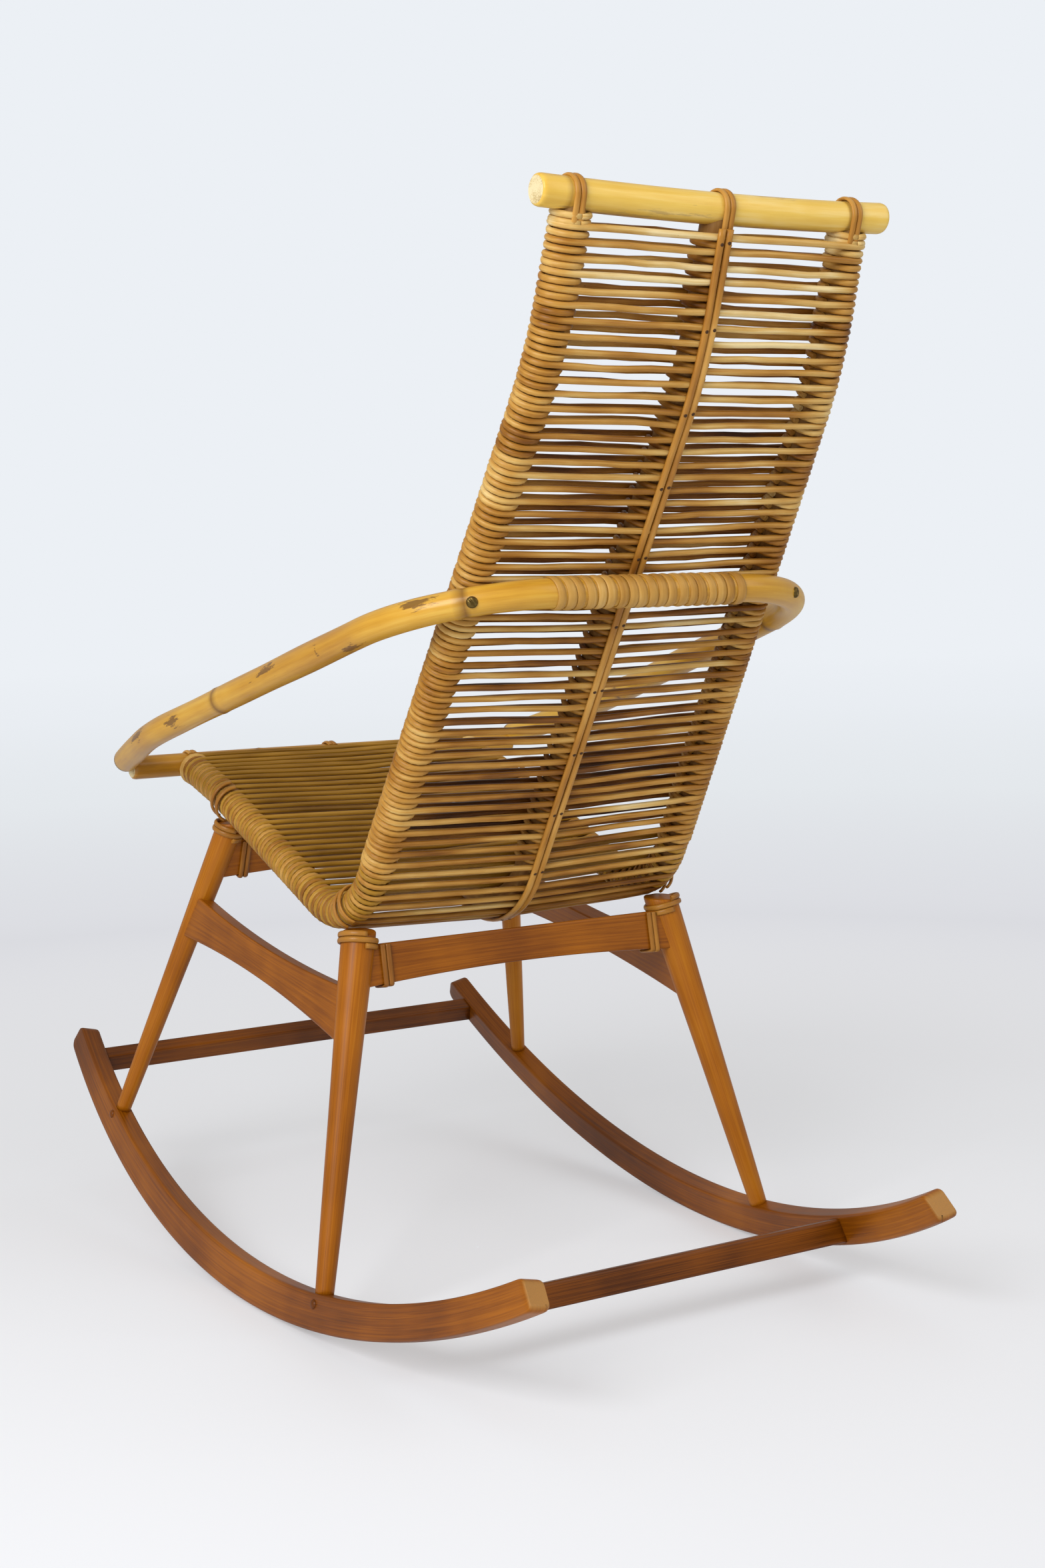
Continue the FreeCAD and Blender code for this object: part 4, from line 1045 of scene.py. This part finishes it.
class CHAIR_OT_rockers(bpy.types.Operator):
    """Rockers with eased edges, worn tips and their pegs"""
    bl_idname = "chair.rockers"
    bl_label = "Rockers"

    def execute(self, context):
        low, top = self.tips()
        f = np.concatenate([0.04 * np.linspace(0, 1, 24) ** 2, np.linspace(0.05, 0.95, 90),
                            1 - 0.04 * np.linspace(1, 0, 24) ** 2])
        y_low = low[0] + f * (low[1] - low[0])
        y_top = top[0] + f * (top[1] - top[0])
        half = ROCKER["thick"] / 2
        foot = SOLE / math.sin(CANT) - half
        flat = SOLE / math.cos(CANT)
        high = ROCKER["high"]
        shape = np.array([(-half, flat), (foot, 0.0), (half, 0.0), (half, high), (-half, high)])
        outline = rounded(shape, 3.0)
        part = outline[None, :, 1] / ROCKER["high"]
        end = np.minimum((low[1] - low[0]) * f / 9.0, (low[1] - low[0]) * (1 - f) / 7.0)
        ease = np.where(end < 1, 1 - np.sqrt(np.clip(1 - (1 - end) ** 2, 0, 1)), 0.0)
        inset = np.where(f < 0.5, 9.0, 7.0) * ease / ROCKER["high"]
        part = inset[:, None] + part * (1 - 2 * inset[:, None])
        y = y_low[:, None] + (y_top - y_low)[:, None] * part
        base, crown = bottom_w(y_low)[:, None], (bottom_w(y_top) + ROCKER["high"])[:, None]
        wide = outline[None, :, 0] * (1 - 0.12 * ease[:, None])
        grid = to_side(np.stack([wide, y, base + (crown - base) * part], -1))
        beech = finish(beech_finish)
        tone = 0.25 + 0.05 * np.sin(y_low / 70.0) + 0.06 / (1 + np.exp((SPLICE - y_low) / 4.0))
        worn = np.clip(1 - (low[1] - y_low) / 2.5, 0, 1) * 0.55
        for side, turn in SIDES:
            skin("rocker_%s_bent" % side, turn(grid)[None, ::-1], beech,
                 ("rocker_%s" % side,), {"tone": tone[None, ::-1, None], "worn": worn[None, ::-1, None]})
        self.pegs(beech)
        return {"FINISHED"}

    def tips(self):
        """Bottom and top ends of the rocker's two cuts: the front square to its slope, the rear raked."""
        low, top = [], []
        for y, rake in ((ROCKER["front"], 0.0), (ROCKER["rear"], math.radians(ROCKER["rake"]))):
            angle = math.asin(y / ROCKER["radius"]) + math.pi / 2 + rake
            reach = np.linspace(0.0, 2 * ROCKER["high"], 4000)
            at = y + math.cos(angle) * reach
            under = bottom_w(y) + math.sin(angle) * reach < bottom_w(at) + ROCKER["high"]
            low.append(y)
            top.append(at[np.count_nonzero(under)])
        return low, top

    def pegs(self, beech):
        """Domed peg heads on the outer faces."""
        heads = []
        for leg in (REAR_LEG, FRONT_LEG):
            a, d, _ = leg_line(leg)
            c = a - d * 10.0
            rise, size = dome(4.6, 2.6, 2.0, 8)
            line = c + np.array([1.0, 0, 0]) * (ROCKER["thick"] / 2 + rise[:, None])
            grid = sweep(line, np.zeros_like(line) + np.array([1.0, 0, 0]),
                         np.zeros_like(line) + np.array([0, 0, 1.0]), circle(20)[None] * size[:, None, None])
            heads.append(to_side(grid))
        heads = heads + [mirrored(h) for h in heads]
        # The heads take a tone below the rockers': painted shade standing in for the dark outline round each
        # head.
        skin("rocker_peg_heads", np.stack(heads), beech, ("rocker_pegs",),
             {"tone": 0.16, "worn": 0.0})


class CHAIR_OT_boards(bpy.types.Operator):
    """Side stretchers, aprons and the bars between the rockers"""
    bl_idname = "chair.boards"
    bl_label = "Boards"

    def execute(self, context):
        beech = finish(beech_finish)
        board = self.side_board()
        for side, turn in SIDES:
            skin("side_stretcher_%s_board" % side, turn(board)[None], beech,
                 ("side_stretcher_%s" % side,), {"tone": 0.38, "worn": 0.0})
        for name, leg, levels in (("rear_apron", REAR_LEG, REAR_APRON),
                                  ("front_apron", FRONT_LEG, FRONT_APRON)):
            skin(name + "_board", self.apron(leg, levels)[None], beech, (name,),
                 {"tone": 0.36, "worn": 0.0})
        for end in ("rear", "front"):
            name, y = "rocker_%s_stretcher" % end, CROSS_BAR[end]
            skin(name + "_bar", self.bar(y)[None], beech, (name,),
                 {"tone": 0.14, "worn": 0.0})
        return {"FINISHED"}

    def side_board(self):
        """Waisted board: its upper and lower edges are parabolas through three levels."""
        f = np.linspace(0.0, 1.0, 50)
        edges = []
        for k in (0, 1):
            a, b = leg_at(FRONT_LEG, SIDE_BOARD["front"][k]), leg_at(REAR_LEG, SIDE_BOARD["rear"][k])
            y = a[1] + (b[1] - a[1]) * f
            ends = a[2] + (b[2] - a[2]) * f
            middle = SIDE_BOARD["mid"][k] - (a[2] + b[2]) / 2
            edges.append(np.stack([0 * y, y, ends + 4 * f * (1 - f) * middle], -1))
        half = SIDE_BOARD["thick"] / 2
        shape = rounded([(-half, 0), (half, 0), (half, 40), (-half, 40)], 2.0)
        top, low = edges[0][:, None], edges[1][:, None]
        share = (shape[:, 1] / 40.0)[None, :, None]
        local = low + (top - low) * share
        local[..., 0] = shape[:, 0]
        return to_side(local)[:, ::-1]

    def apron(self, leg, levels):
        """Board between two legs with its lower edge arched: rise (1 - u squared)."""
        low, top = on_axis(leg, levels[0])[0], on_axis(leg, levels[1])[0]
        lean = unit(np.array([0.0, top[1] - low[1], top[2] - low[2]]))
        across = np.cross(lean, np.array([1.0, 0, 0]))
        u = np.linspace(-1.0, 1.0, 50)[:, None, None]
        half = APRON_THICK / 2
        shape = rounded([(-half, 0), (half, 0), (half, 42), (-half, 42)], 2.2)
        h = (shape[:, 1] / 42.0)[None, :, None]
        tall = np.linalg.norm(top[1:] - low[1:])
        rise = APRON_ARCH * (1 - u ** 2)
        along = np.array([1.0, 0, 0]) * u * (low[0] + (top[0] - low[0]) * h)
        place = np.array([0.0, low[1], low[2]]) + lean * (rise + (tall - rise) * h)
        return (place + along + across * shape[None, :, 0:1])

    def bar(self, y):
        """Bar between the rockers, square to their slope."""
        w = bottom_w(y) + ROCKER["high"] / 2 - CROSS_BAR["sink"]
        centre = to_side(np.array([0.0, y, w]))
        slope = math.asin(y / ROCKER["radius"])
        inside = centre[0] - 6.0
        x = np.linspace(-inside, inside, 40)
        p = np.stack([x, 0 * x + centre[1], 0 * x + centre[2]], -1)
        t = np.zeros_like(p) + np.array([1.0, 0, 0])
        up = np.zeros_like(p) + np.array([0.0, -math.sin(slope), math.cos(slope)])
        a, b = CROSS_BAR["tall"] / 2, CROSS_BAR["wide"] / 2
        return sweep(p, t, up, rounded([(-a, -b), (a, -b), (a, b), (-a, b)], 2.5))


# Stage


class CHAIR_OT_stage(bpy.types.Operator):
    """Pale floor, soft studio light and the camera"""
    bl_idname = "chair.stage"
    bl_label = "Stage"

    def execute(self, context):
        self.floor()
        self.light()
        self.camera()
        context.scene.view_settings.view_transform = "Standard"
        return {"FINISHED"}

    def floor(self):
        """Round floor as rings of growing radius; for camera rays it also glows with painted light."""
        made, tree, shader = blank("studio_floor")
        shader.inputs["Base Color"].default_value = colours().floor
        shader.inputs["Roughness"].default_value = 0.9
        shader.inputs["Specular IOR Level"].default_value = 0.1
        place = add(tree, "ShaderNodeTexCoord")
        away = add(tree, "ShaderNodeVectorMath", {"operation": "LENGTH"}, {0: place.outputs["Object"]})
        far = add(tree, "ShaderNodeMapRange",
                  {"interpolation_type": "SMOOTHSTEP", "From Min": 0.5, "From Max": 2.6, "To Min": 0.35},
                  {"Value": away.outputs["Value"]})
        path = add(tree, "ShaderNodeLightPath")
        share = add(tree, "ShaderNodeMath", {"operation": "MULTIPLY"},
                    {0: far.outputs[0], 1: path.outputs["Is Camera Ray"]})
        # The glow's colour changes with distance from the chair: painted light, near white close in, greyer
        # about two metres out, then the backdrop colour far off.
        reach = add(tree, "ShaderNodeMath", {"operation": "MULTIPLY", 1: 1 / 16.0},
                    {0: away.outputs["Value"]})
        depth = add(tree, "ShaderNodeValToRGB", {}, {"Fac": reach.outputs[0]},
                    [(0.04, "#fdfdff"), (0.14, "#dcdde2"), (0.3, "#e4e8ec"), (0.55, "#e9edf2"),
                     (0.9, BACKDROP)])
        painted_floor_light = add(tree, "ShaderNodeEmission", {"Strength": 1.0}, {"Color": depth.outputs["Color"]})
        mix = add(tree, "ShaderNodeMixShader", {},
                  {0: share.outputs[0], 1: shader.outputs[0], 2: painted_floor_light.outputs[0]})
        surface = next(n for n in tree.nodes if n.type == "OUTPUT_MATERIAL")
        tree.links.new(mix.outputs[0], surface.inputs["Surface"])
        size = np.array([0.001, 2.0, 6.0, 14.0, 30.0])
        ring = circle(48)
        place = np.concatenate([ring[None] * size[:, None, None], np.zeros((5, 48, 1)) - 0.0006], -1)
        ids = np.arange(5 * 48).reshape(5, 48)
        quads = np.stack([ids[:-1], ids[1:], np.roll(ids[1:], -1, 1), np.roll(ids[:-1], -1, 1)], -1)
        mesh = bpy.data.meshes.new("studio_floor")
        mesh.from_pydata(place.reshape(-1, 3).tolist(), [], quads.reshape(-1, 4).tolist())
        mesh.materials.append(made)
        floor = bpy.data.objects.new("studio_floor", mesh)
        bpy.context.scene.collection.objects.link(floor)

    def light(self):
        """Even pale surround and two broad soft lamps."""
        world = bpy.data.worlds.new("studio")
        bpy.context.scene.world = world
        world.use_nodes = True
        tree = world.node_tree
        tree.nodes.clear()
        path = add(tree, "ShaderNodeLightPath")
        seen = add(tree, "ShaderNodeBackground", {"Color": linear(BACKDROP), "Strength": 1.0})
        glow = add(tree, "ShaderNodeBackground", {"Color": linear("#fbf8f3"), "Strength": 0.5})
        mix = add(tree, "ShaderNodeMixShader", {}, {0: path.outputs["Is Camera Ray"], 1: glow.outputs[0],
                                                    2: seen.outputs[0]})
        add(tree, "ShaderNodeOutputWorld", links={"Surface": mix.outputs[0]})
        for name, place, aim, size, power in (
                ("key_soft", (2.3, 1.5, 1.9), (0.0, 0.05, 0.5), 1.6, 70.0),
                ("fill_soft", (-1.8, 2.4, 2.2), (0.0, 0.0, 0.5), 2.2, 22.0)):
            lamp = bpy.data.lights.new(name, "AREA")
            lamp.energy = power
            lamp.size = size
            made = bpy.data.objects.new(name, lamp)
            back = unit(np.array(place) - np.array(aim))
            side = unit(np.cross([0.0, 0, 1.0], back))
            up = np.cross(back, side)
            turn = np.eye(4)
            turn[:3, 0], turn[:3, 1], turn[:3, 2], turn[:3, 3] = side, up, back, place
            made.matrix_world = Matrix(turn.tolist())
            bpy.context.scene.collection.objects.link(made)

    def camera(self):
        """The photograph's view, solved from the chair itself: turn, pitch, roll and the lean at rest."""
        turn, pitch, roll = (math.radians(a) for a in (31.47, 9.39, 1.08))
        level = np.array([-math.sin(turn), -math.cos(turn), 0.0])
        ahead = level * math.cos(pitch) - np.array([0.0, 0.0, math.sin(pitch)])
        side = unit(np.cross(ahead, [0.0, 0, 1.0]))
        up = np.cross(side, ahead)
        tilted = side * math.cos(roll) + up * math.sin(roll)
        raised = up * math.cos(roll) - side * math.sin(roll)
        place = np.array([1124.0, 1943.6, 864.8])
        eye = to_rest(place)
        made = np.eye(4)
        for k, way in enumerate((tilted, raised, -ahead)):
            made[:3, k] = (to_rest(place + way) - eye) * 1000.0
        made[:3, 3] = eye
        lens = bpy.data.cameras.new("photo_view")
        lens.sensor_fit = "VERTICAL"
        lens.sensor_height = 36.0
        lens.sensor_width = 36.0
        lens.lens = 36.0 * 3300.0 / 2352.0
        lens.shift_x = (784.0 - 788.5) / 2352.0
        lens.shift_y = (1175.7 - 1176.0) / 2352.0
        lens.dof.use_dof = False
        view = bpy.data.objects.new("photo_view", lens)
        view.matrix_world = Matrix(made.tolist())
        bpy.context.scene.collection.objects.link(view)
        bpy.context.scene.camera = view


class CHAIR_PT_panel(bpy.types.Panel):
    """Lists the chair's pieces"""
    bl_idname = "CHAIR_PT_panel"
    bl_label = "Rocking chair"
    bl_space_type = "VIEW_3D"
    bl_region_type = "UI"
    bl_category = "Chair"

    def draw(self, context):
        for name in ChairSizes.__annotations__:
            self.layout.prop(context.scene.chair_sizes, name)
        for name in ChairColours.__annotations__:
            self.layout.prop(context.scene.chair_colours, name)
        for step in STEPS:
            self.layout.operator(step.bl_idname)


STEPS = (CHAIR_OT_stage, CHAIR_OT_rails, CHAIR_OT_back_reeds, CHAIR_OT_seat_reeds, CHAIR_OT_strips,
         CHAIR_OT_cross_poles, CHAIR_OT_hoop, CHAIR_OT_ties, CHAIR_OT_legs, CHAIR_OT_rockers, CHAIR_OT_boards)
CLASSES = (ChairSizes, ChairColours) + STEPS + (CHAIR_PT_panel,)


def register():
    for kind in CLASSES:
        bpy.utils.register_class(kind)
    bpy.types.Scene.chair_sizes = bpy.props.PointerProperty(type=ChairSizes)
    bpy.types.Scene.chair_colours = bpy.props.PointerProperty(type=ChairColours)


def unregister():
    del bpy.types.Scene.chair_colours
    del bpy.types.Scene.chair_sizes
    for kind in reversed(CLASSES):
        bpy.utils.unregister_class(kind)


def main():
    register()
    for step in STEPS:
        group, name = step.bl_idname.split(".")
        getattr(getattr(bpy.ops, group), name)()


if __name__ == "__main__":
    main()
